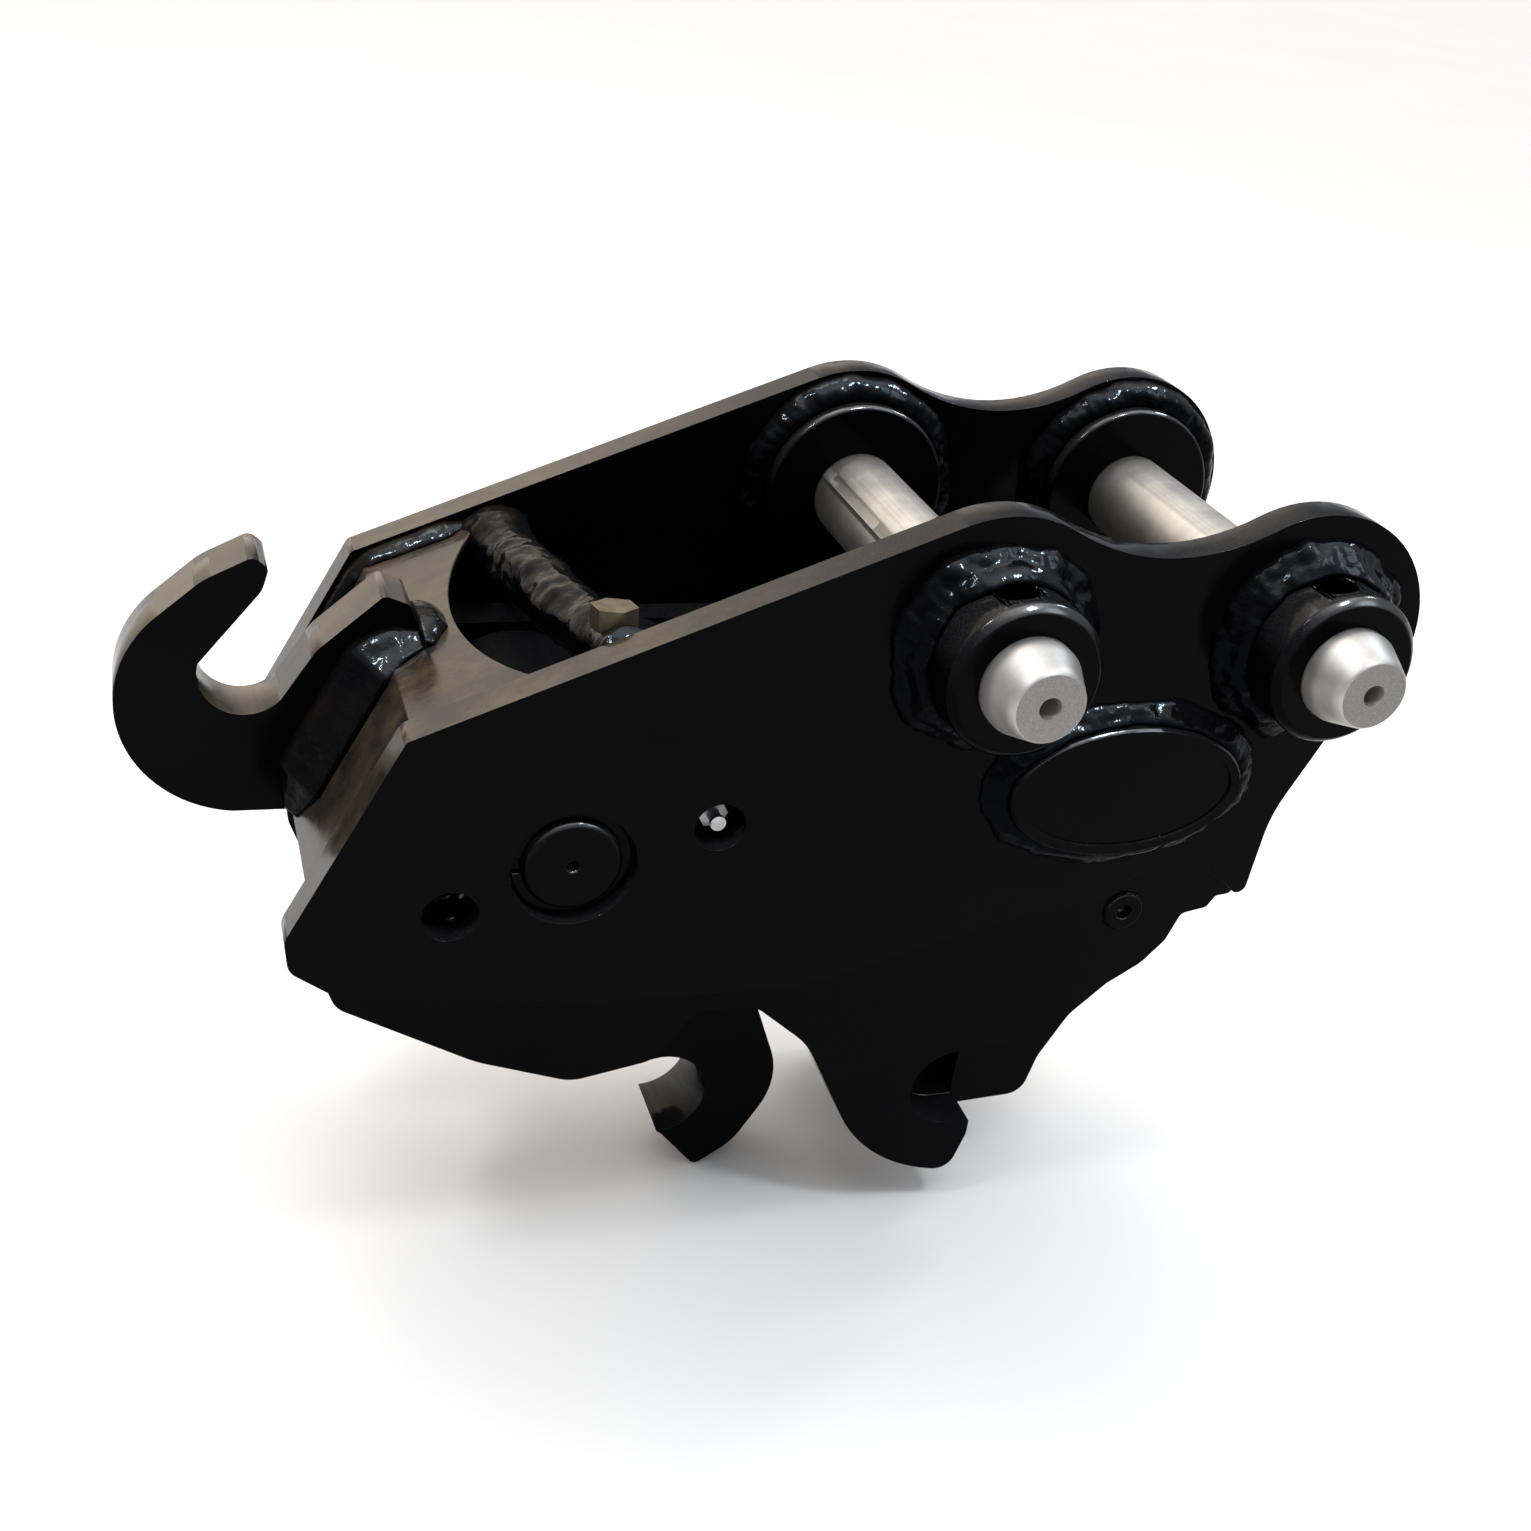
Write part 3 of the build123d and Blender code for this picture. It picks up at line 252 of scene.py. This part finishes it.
def black_enamel(name, look):
    """Gloss black enamel: orange peel, grey dust that also paints a sheen on top, and a painted warm
    reflection, brown, on the faces round the tail.
    """
    m = Nodes(name)
    height = m.facing(Z)
    up = m.ramp(height, 0.08, 0.55)

    # Painted reflection: brown in clouds and streaks on the faces round the tail that look up, standing in
    # for the warm light they reflect.
    outside = m.math("MAXIMUM", m.beyond(TAIL_OUT, TAIL_BEND), m.beyond(CAP_OUT, TAIL_BEND))
    behind = m.ramp(m.beyond(Vector((1, 0, 0)), Vector()), PAINTED_REFLECTION_REAR, PAINTED_REFLECTION_FRONT, 1.0, 0.0)
    whole = m.math("MULTIPLY", m.ramp(outside, *PAINTED_REFLECTION_DEPTH), behind)
    reflection_zone = m.math("MULTIPLY", m.math("MULTIPLY", up, whole), look["painted_reflection_share"])
    cloud = m.ramp(m.noise(30, 5, 0.7), 0.38, 0.62, 0.12, 1.0)
    streak = m.ramp(m.noise(1, 4, 0.7, (16, 110, 16)), 0.35, 0.65, 0.45, 1.0)
    painted_reflection = m.math("MULTIPLY", m.math("MULTIPLY", reflection_zone, cloud), streak)
    # Grey specks on faces that look up: part dust, part painted sheen for the light those faces reflect.
    specks = m.ramp(m.noise(1500, 2, 0.9), 0.50, 0.72, 0.22, 1.0)
    dust_and_sheen = m.math("MULTIPLY", m.math("MULTIPLY", up, specks), look["dust_and_sheen_share"])

    base = m.mix(m.noise(14, 4), BLACK_DEEP, BLACK_PALE)
    colour = m.mix(painted_reflection, m.mix(dust_and_sheen, base, DUST_AND_SHEEN_GREY), PAINTED_REFLECTION_BROWN)
    gloss = m.ramp(m.noise(60, 3), 0.3, 0.7, *look["gloss"])
    m.surface(colour, m.math("ADD", gloss, m.math("MULTIPLY", painted_reflection, PAINTED_REFLECTION_ROUGH)))

    # Gloss: low on the sides, higher on top, highest on the rounded edges between the two.
    index = m.ramp(height, -0.1, 0.5, *look["index"])
    rounded = m.math("MULTIPLY", m.math("ABSOLUTE", m.facing(Y)), height)
    glint = m.ramp(rounded, 0.28, 0.47, 0.0, look["glint_index"])
    extra = m.math("ADD", glint, m.math("MULTIPLY", reflection_zone, PAINTED_REFLECTION_INDEX))
    m.put(m.shader.inputs["IOR"], m.math("ADD", index, extra))
    m.shader.inputs["Specular Tint"].default_value = look["tint"]
    m.bump(*(
        (m.noise(scale, detail, roughness), distance, strength)
        for scale, detail, roughness, distance, strength in look["bumps"]
    ))
    return m.material


def machined_steel(name):
    """Turned or ground bare steel: fine rings across the axis, darker handling marks, grey end faces."""
    m = Nodes(name)
    rings = m.noise(1, 3, 0.6, LATHE_RINGS)
    blotch = m.noise(55, 5, 0.6)
    grain = m.noise(1500, 3, 0.8)
    end = m.ramp(m.math("ABSOLUTE", m.facing(Y)), 0.93, 0.99)
    handled = tuple(c * STEEL_HANDLED for c in STEEL[:3]) + (1,)
    turned = m.mix(m.ramp(blotch, 0.35, 0.7), STEEL, handled)
    faced = m.mix(m.ramp(grain, 0.3, 0.7), STEEL_END_DARK, STEEL_END_PALE)
    roughness = m.math("ADD", m.ramp(rings, 0.3, 0.7, 0.42, 0.55), m.math("MULTIPLY", end, 0.25))
    m.surface(m.mix(end, turned, faced), roughness, 1.0)
    m.bump((rings, 0.03 * MM, 0.4), (grain, 0.03 * MM, 0.2))
    return m.material


def plain_metal(name, colour, rough_low, rough_high, scale):
    """Satin metal of small parts: cloudy tarnish and fine scratches."""
    m = Nodes(name)
    tarnish = m.ramp(m.noise(scale, 5, 0.6), 0.35, 0.7)
    tarnished = tuple(c * TARNISHED for c in colour[:3]) + (1,)
    m.surface(m.mix(tarnish, colour, tarnished), m.ramp(tarnish, 0, 1, rough_low, rough_high), 1.0)
    m.bump((m.noise(1200, 2), 0.02 * MM, 0.4), (m.noise(150, 4), 0.08 * MM, 0.3))
    return m.material


def rubber(name):
    m = Nodes(name)
    m.surface(m.mix(m.noise(300), RUBBER_DARK, RUBBER_PALE), 0.6)
    m.bump((m.noise(900), 0.04 * MM, 0.5))
    return m.material


def floor_material(name):
    m = Nodes(name)
    m.surface(m.mix(m.noise(3, 4), FLOOR_DARK, FLOOR_PALE), 0.9)
    m.shader.inputs["Specular IOR Level"].default_value = 0.1
    return m.material


MATERIALS = {
    "black_paint": black_enamel("black_enamel", FLAT_ENAMEL),
    "machined_steel": machined_steel("ground_pin_steel"),
    "plain_steel": plain_metal("satin_steel", (0.42, 0.42, 0.43, 1), 0.3, 0.5, 90),
    "chromed_rod": plain_metal("chromed_steel", (0.78, 0.78, 0.8, 1), 0.06, 0.12, 40),
    "bronze": plain_metal("dull_brass", (0.15, 0.12, 0.08, 1), 0.35, 0.55, 120),
    "seal_rubber": rubber("seal_rubber"),
}
WELD_PAINT = black_enamel("black_enamel_on_weld", WELD_ENAMEL)


# --- CAD nodes: material and a small eased edge -------------------------------------------------
MERGE_WITHIN = 0.002 * MM
EASED = {"black_paint": 0.8 * MM, "machined_steel": 0.4 * MM}
EASED_STEPS = 2
SHARP = math.radians(32)     # edges that turn by more than this are eased

for entry in frame["record"]["subparts"]:
    node = nodes[entry["node"]]
    slot = entry["material_slot"]
    node.data.materials.clear()
    node.data.materials.append(MATERIALS[slot])
    merge = node.modifiers.new("merge", "WELD")
    merge.merge_threshold = MERGE_WITHIN
    if slot in EASED:
        ease = node.modifiers.new("ease", "BEVEL")
        ease.width = EASED[slot]
        ease.segments = EASED_STEPS
        ease.limit_method = "ANGLE"
        ease.angle_limit = SHARP
        ease.harden_normals = True


# --- Weld bead shapes ---------------------------------------------------------------------------
STEP = 0.9 * MM              # between one ring of a bead and the next
BEAD_STEPS = 11              # points across a bead
BAR_STEPS = 48               # points round the welded-over bar
SINK = 0.2 * MM              # how far a bead's edges lie inside the metal
ROUNDED = 0.85               # below 1, a bead's skin bulges out from the line between its edges
END_SIZE = 0.35              # share of its size that a bead has at an open end
RIPPLE = 4.2 * MM            # pitch of a bead's ripples
RIPPLE_LAG = 1.7             # how far the ripples trail in the middle of a bead, in radians
RIPPLE_SIZE = 0.008
RIPPLE_SPREAD = 0.012        # how much that size comes and goes along the bead
COARSE, FINE = 20 * MM, 7 * MM   # sizes of a bead's lumps


def lump(place, seed, size):
    """Smooth random number between -1 and 1 at a place, for features of a size in metres."""
    return noise.noise(place / size + Vector((seed, seed * 0.37, -seed)))


def smooth_outward(piece):
    """Makes the faces point outwards and shades the piece smooth."""
    work = bmesh.new()
    work.from_mesh(piece.data)
    bmesh.ops.recalc_face_normals(work, faces=work.faces)
    for face in work.faces:
        face.smooth = True
    work.to_mesh(piece.data)
    work.free()


def ring_mesh(name, rings, around, points, closed, body):
    """Skin over rings of points, each with the same count, as one piece that rides on a body."""
    faces = []
    last = rings if closed else rings - 1
    for index in range(last):
        here, there = index * around, (index + 1) % rings * around
        for step in range(around):
            after = (step + 1) % around
            faces.append((here + step, here + after, there + after, there + step))
    if not closed:
        faces.append(tuple(reversed(range(around))))
        faces.append(tuple(last * around + step for step in range(around)))
    mesh = bpy.data.meshes.new(name)
    mesh.from_pydata(points, [], faces)
    mesh.validate()
    mesh.materials.append(WELD_PAINT)
    piece = bpy.data.objects.new(name, mesh)
    bpy.context.scene.collection.objects.link(piece)
    smooth_outward(piece)
    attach(piece, body)


def weld_bead(name, roots, body, seed, legs, closed=False, crown=0.10, heavy=0.15, ripple=1.0, most=math.inf):
    """Lumpy fillet weld along roots, a list of (corner point, way along face A, way along face B).

    legs are its reach along the two faces. crown above 0 fills the bead out and below 0 hollows it,
    heavy is how lumpy it is, ripple scales its ripples, and most limits its reach along face A.
    """
    points = []
    distance = 0.0
    for index, (root, way_a, way_b) in enumerate(roots):
        if index:
            distance += (root - roots[index - 1][0]).length
        end_taper = 1.0
        if not closed:
            to_end = min(index, len(roots) - 1 - index) * STEP / legs[0]
            end_taper = min(1.0, END_SIZE + (1 - END_SIZE) * to_end)
        ripple_size = ripple * (RIPPLE_SIZE + RIPPLE_SPREAD * lump(root, seed + 4, 30 * MM))
        for step in range(BEAD_STEPS):
            turn = step / (BEAD_STEPS - 1) * math.pi / 2
            crescent = distance / RIPPLE * math.tau - RIPPLE_LAG * math.sin(2 * turn)
            skin = root + way_a * legs[0] * math.cos(turn) + way_b * legs[1] * math.sin(turn)
            swell = heavy * lump(skin, seed, COARSE) + heavy * 0.5 * lump(skin, seed + 9, FINE)
            reach = end_taper * (1 + ripple_size * math.sin(crescent) + swell)
            reach *= 1 + crown * math.sin(2 * turn)
            along_a = min(most, legs[0] * reach * math.cos(turn) ** ROUNDED)
            along_b = legs[1] * reach * math.sin(turn) ** ROUNDED
            points.append(root + way_a * (along_a - SINK) + way_b * (along_b - SINK))
        points.append(root - (way_a + way_b) * 2 * SINK)
    ring_mesh(name, len(roots), BEAD_STEPS + 1, points, closed, body)


def at_side(point, y):
    return Vector((point.x, y, point.z))


def round_roots(middle, radius, face_y, way, start=0.0, end=360.0):
    """Roots of a bead round a ring that stands on a face of constant Y, way being +1 or -1."""
    count = int(radius * math.radians(end - start) / STEP)
    is_open = end - start < 360
    roots = []
    for index in range(count + 1 if is_open else count):
        turn = math.radians(start + (end - start) * index / count)
        out = Vector((math.cos(turn), 0, math.sin(turn)))
        roots.append((at_side(middle, face_y) + out * radius, out, Vector((0, way, 0))))
    return roots


def oval_roots(middle, half, face_y, way):
    """Roots of a bead round an oval that stands on a face of constant Y."""
    count = int(math.tau * (half.x + half.z) / 2 / STEP)
    roots = []
    for index in range(count):
        turn = math.tau * index / count
        root = Vector((middle.x + half.x * math.cos(turn), face_y, middle.z + half.z * math.sin(turn)))
        out = Vector((math.cos(turn) / half.x, 0, math.sin(turn) / half.z)).normalized()
        roots.append((root, out, Vector((0, way, 0))))
    return roots


def path_roots(stops):
    """Roots along straight runs between stops, each a (corner point, way A, way B)."""
    roots = []
    for first, second in zip(stops, stops[1:]):
        count = max(2, int((second[0] - first[0]).length / STEP))
        for index in range(count):
            part = index / count
            place, way_a, way_b = (one.lerp(two, part) for one, two in zip(first, second))
            roots.append((place, way_a.normalized(), way_b.normalized()))
    return roots


def tail_bead(name, start, end, y, way, seed, bead):
    """Bead along the tail plate's outer face at one Y, from a share of the tail to a share of the cap."""
    side_way = Vector((0, way, 0))
    stops = [
        (at_side(TAIL_FOOT.lerp(TAIL_BEND, start), y), side_way, TAIL_OUT),
        (at_side(TAIL_FOOT.lerp(TAIL_BEND, BEND_FROM), y), side_way, TAIL_OUT),
        (at_side(TAIL_BEND.lerp(CAP_END, BEND_TO), y), side_way, CAP_OUT),
        (at_side(TAIL_BEND.lerp(CAP_END, end), y), side_way, CAP_OUT),
    ]
    weld_bead(name, path_roots(stops), "frame", seed, **bead)


def lumpy_sleeve(name, start, end, start_radius, end_radius, seed):
    """Weld metal built up all along a round bar, streaked lengthways and flared at both ends."""
    run = end - start
    along = run.normalized()
    side = along.cross(Vector((0, 0, 1))).normalized()
    top = side.cross(along)
    rings = int(run.length / STEP)
    points = []
    for ring in range(rings):
        part = ring / (rings - 1)
        near_start = max(0.0, 1 - part * FLARE_SHARES)
        near_end = max(0.0, 1 - (1 - part) * FLARE_SHARES)
        flare = 1 + START_FLARE * near_start + END_FLARE * near_end
        place = start + run * part
        radius = start_radius + (end_radius - start_radius) * part
        for step in range(BAR_STEPS):
            turn = math.tau * step / BAR_STEPS
            out = side * math.cos(turn) + top * math.sin(turn)
            skin = place + out * radius
            swell = 0.16 * lump(skin, seed, 22 * MM) + 0.07 * lump(skin, seed, FINE)
            drawn_out = run * part * 0.12 + out * radius
            streak = 0.08 * lump(drawn_out, seed + 3, 4 * MM)
            points.append(place + out * radius * flare * (1 + swell + streak))
    ring_mesh(name, rings, BAR_STEPS, points, False, "frame")


# --- Weld beads ---------------------------------------------------------------------------------
BOSS_BEAD = {"legs": (12.5 * MM, 13 * MM), "crown": -0.3, "heavy": 0.25}
COLLAR_BEAD = {"legs": (10 * MM, 9 * MM), "crown": 0.0, "heavy": 0.2}
PAD_BEAD = {"legs": (10 * MM, 8 * MM), "crown": -0.2, "heavy": 0.25}
TAIL_BEAD = {"legs": (8 * MM, 5 * MM), "crown": -0.1, "heavy": 0.15}
LIFTING_BEAD = {"legs": (17 * MM, 17 * MM), "crown": -0.28, "heavy": 0.04, "ripple": 0.2}
LIFTING_END_BEAD = {"legs": (11 * MM, 9 * MM), "crown": -0.1}
HUB_BEAD = {"legs": (7 * MM, 7 * MM)}

LOBE_ROOM = 0.3 * MM         # a collar's bead stops this far inside the side plate's edge
COLLAR_MOST = LOBE_R - COLLAR_R - LOBE_ROOM
BEND_FROM, BEND_TO = 0.93, 0.1     # shares of the tail and the cap between which a bead turns
TAIL_START, TAIL_END = 0.02, 0.97  # shares of the tail and the cap where the tail's beads end
LIFTING_START, LIFTING_END = 0.03, 0.3
LIFTING_END_SPARE = 6 * MM   # the bead across the lifting hook's end is this much wider on each side
HUB_START, HUB_END = -150, -5      # degrees round the hub over which it is welded to the blade

BAR_R = 9.5 * MM             # half the cross bar's thickness at its ends
BAR_INSET = 1 * MM
BAR_LEFT_R, BAR_RIGHT_R = 14 * MM, 11 * MM
FLARE_SHARES = 8             # the sleeve flares over an eighth of its length at each end
START_FLARE, END_FLARE = 0.30, 0.35

for side, sign in SIDES.items():
    inner, outer = sign * SIDE_IN, sign * SIDE_OUT
    for place, middle in (("arm", ARM), ("link", LINK)):
        seed = 3 + 5 * sign + (11 if place == "arm" else 0)
        boss_roots = round_roots(middle, BOSS_R, outer, sign)
        weld_bead(f"{place}_boss_weld_{side}", boss_roots, "frame", seed, closed=True, **BOSS_BEAD)
        collar_roots = round_roots(middle, COLLAR_R, inner, -sign)
        weld_bead(f"{place}_collar_weld_{side}", collar_roots, "frame", seed + 2, closed=True,
                  most=COLLAR_MOST, **COLLAR_BEAD)
    pad_roots = oval_roots(PAD, PAD_HALF, outer, sign)
    weld_bead(f"oval_pad_weld_{side}", pad_roots, "frame", 31 + sign, closed=True, **PAD_BEAD)
    tail_bead(f"tail_weld_{side}", TAIL_START, TAIL_END, inner, -sign, 41 + sign, TAIL_BEAD)
    tail_bead(f"lifting_hook_weld_{side}", LIFTING_START, LIFTING_END, sign * LIFTING_HALF, sign,
              51 + sign, LIFTING_BEAD)
    hub_roots = round_roots(PIVOT, HUB_R, sign * BLADE_HALF, sign, HUB_START, HUB_END)
    weld_bead(f"hook_hub_weld_{side}", hub_roots, "hook", 61 + sign, **HUB_BEAD)

bar_low, bar_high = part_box("cross_bar")
bar_left = Vector((bar_low.x + BAR_R, bar_high.y - BAR_INSET, bar_low.z + BAR_R))
bar_right = Vector((bar_high.x - BAR_R, bar_low.y + BAR_INSET, bar_high.z - BAR_R))
lumpy_sleeve("cross_bar_weld", bar_left, bar_right, BAR_LEFT_R, BAR_RIGHT_R, 71)

# The lifting hook's end on the cap, closed by one short bead across it.
lifting_end = TAIL_BEND.lerp(CAP_END, LIFTING_END)
ahead = at_side(CAP_END - lifting_end, 0).normalized()
reach_y = LIFTING_HALF + LIFTING_END_SPARE
across_stops = [(at_side(lifting_end, y), ahead, CAP_OUT) for y in (-reach_y, reach_y)]
weld_bead("lifting_hook_end_weld", path_roots(across_stops), "frame", 57, **LIFTING_END_BEAD)


# --- Floor, light, camera -----------------------------------------------------------------------
FLOOR_Z = cad_box[0][2] - 1 * MM
FLOOR_REACH = 30

AIR_COLOUR, AIR_STRENGTH = (0.9, 0.93, 1.0, 1), 0.42
# Sky patches: direction, degrees where the patch is full and where it ends, colour, strength.
SKY_PATCHES = (
    ((-0.35, 0.85, 0.32), 16, 52, (1.0, 0.84, 0.64), 1.5),
    ((0.0, 0.1, 1.0), 10, 55, (1.0, 0.98, 0.95), 1.5),
    ((0.75, -0.5, 0.75), 4, 14, (0.82, 0.9, 1.0), 2.4),
)
# Area lights: name, place, width and height, watts, colour.
AREA_LIGHTS = (
    ("key", (-0.5, 0.7, 1.9), (0.9, 0.9), 14, (1.0, 0.96, 0.9)),
    ("window_front", (0.42, -0.75, 1.45), (0.16, 0.24), 8, (0.88, 0.94, 1.0)),
    ("window_left", (-1.0, -0.45, 1.35), (0.14, 0.24), 7, (0.95, 0.97, 1.0)),
    ("window_right", (1.3, 0.3, 1.2), (0.14, 0.24), 6, (0.80, 0.89, 1.0)),
)
LIGHTS_AIM = Vector((-0.05, 0, -0.1))

CAMERA_PLACE = Vector((-0.3154, -0.6813, 0.2940))
CAMERA_RIGHT = Vector((0.9470, -0.2980, 0.1180))
CAMERA_AHEAD = Vector((0.3175, 0.8195, -0.4771))
CAMERA_LENS = 43.75
CAMERA_SENSOR = 36
CAMERA_CLIP = 0.01


def build_floor():
    mesh = bpy.data.meshes.new("floor")
    corners = ((-1, -1), (1, -1), (1, 1), (-1, 1))
    points = [(x * FLOOR_REACH, y * FLOOR_REACH, FLOOR_Z) for x, y in corners]
    mesh.from_pydata(points, [], [(0, 1, 2, 3)])
    mesh.materials.append(floor_material("pale_floor"))
    floor = bpy.data.objects.new("floor", mesh)
    bpy.context.scene.collection.objects.link(floor)


def area_light(name, place, size, power, colour):
    light = bpy.data.lights.new(name, "AREA")
    light.shape = "RECTANGLE"
    light.size, light.size_y = size
    light.energy = power
    light.color = colour
    holder = bpy.data.objects.new(name, light)
    bpy.context.scene.collection.objects.link(holder)
    holder.location = place
    holder.rotation_euler = (LIGHTS_AIM - Vector(place)).to_track_quat("-Z", "Y").to_euler()


def sky_lobe(tree, way, inner, outer):
    """How far the sky direction is inside a soft round patch, 0 to 1."""
    sky = tree.nodes.new("ShaderNodeTexCoord").outputs["Generated"]
    dot = tree.nodes.new("ShaderNodeVectorMath")
    dot.operation = "DOT_PRODUCT"
    tree.links.new(sky, dot.inputs[0])
    dot.inputs[1].default_value = Vector(way).normalized()
    ease = tree.nodes.new("ShaderNodeMapRange")
    ease.interpolation_type = "SMOOTHSTEP"
    tree.links.new(dot.outputs["Value"], ease.inputs["Value"])
    ease.inputs["From Min"].default_value = math.cos(math.radians(outer))
    ease.inputs["From Max"].default_value = math.cos(math.radians(inner))
    return ease.outputs["Result"]


def build_light():
    """Soft pale room with a warm bright wall behind on the left and a cool window ahead on the right."""
    world = bpy.data.worlds.new("studio")
    bpy.context.scene.world = world
    world.use_nodes = True
    tree = world.node_tree
    total = tree.nodes["Background"]
    total.inputs["Color"].default_value = AIR_COLOUR
    total.inputs["Strength"].default_value = AIR_STRENGTH
    for way, inner, outer, colour, strength in SKY_PATCHES:
        patch = tree.nodes.new("ShaderNodeBackground")
        patch.inputs["Color"].default_value = (*colour, 1)
        level = tree.nodes.new("ShaderNodeMath")
        level.operation = "MULTIPLY"
        tree.links.new(sky_lobe(tree, way, inner, outer), level.inputs[0])
        level.inputs[1].default_value = strength
        tree.links.new(level.outputs[0], patch.inputs["Strength"])
        join = tree.nodes.new("ShaderNodeAddShader")
        tree.links.new(total.outputs[0], join.inputs[0])
        tree.links.new(patch.outputs[0], join.inputs[1])
        total = join
    tree.links.new(total.outputs[0], tree.nodes["World Output"].inputs["Surface"])
    for name, place, size, power, colour in AREA_LIGHTS:
        area_light(name, place, size, power, colour)


def build_camera():
    """Three-quarter view from the right, from behind the middle and from above."""
    ahead = CAMERA_AHEAD.normalized()
    up = CAMERA_RIGHT.normalized().cross(ahead).normalized()
    right = ahead.cross(up).normalized()
    camera = bpy.data.objects.new("camera", bpy.data.cameras.new("camera"))
    bpy.context.scene.collection.objects.link(camera)
    turn = Matrix((right, up, -ahead)).transposed().to_4x4()
    camera.matrix_world = Matrix.Translation(CAMERA_PLACE) @ turn
    camera.data.sensor_width = CAMERA_SENSOR
    camera.data.lens = CAMERA_LENS
    camera.data.clip_start = CAMERA_CLIP
    bpy.context.scene.camera = camera
    bpy.context.scene.view_settings.view_transform = "Standard"


build_floor()
build_light()
build_camera()
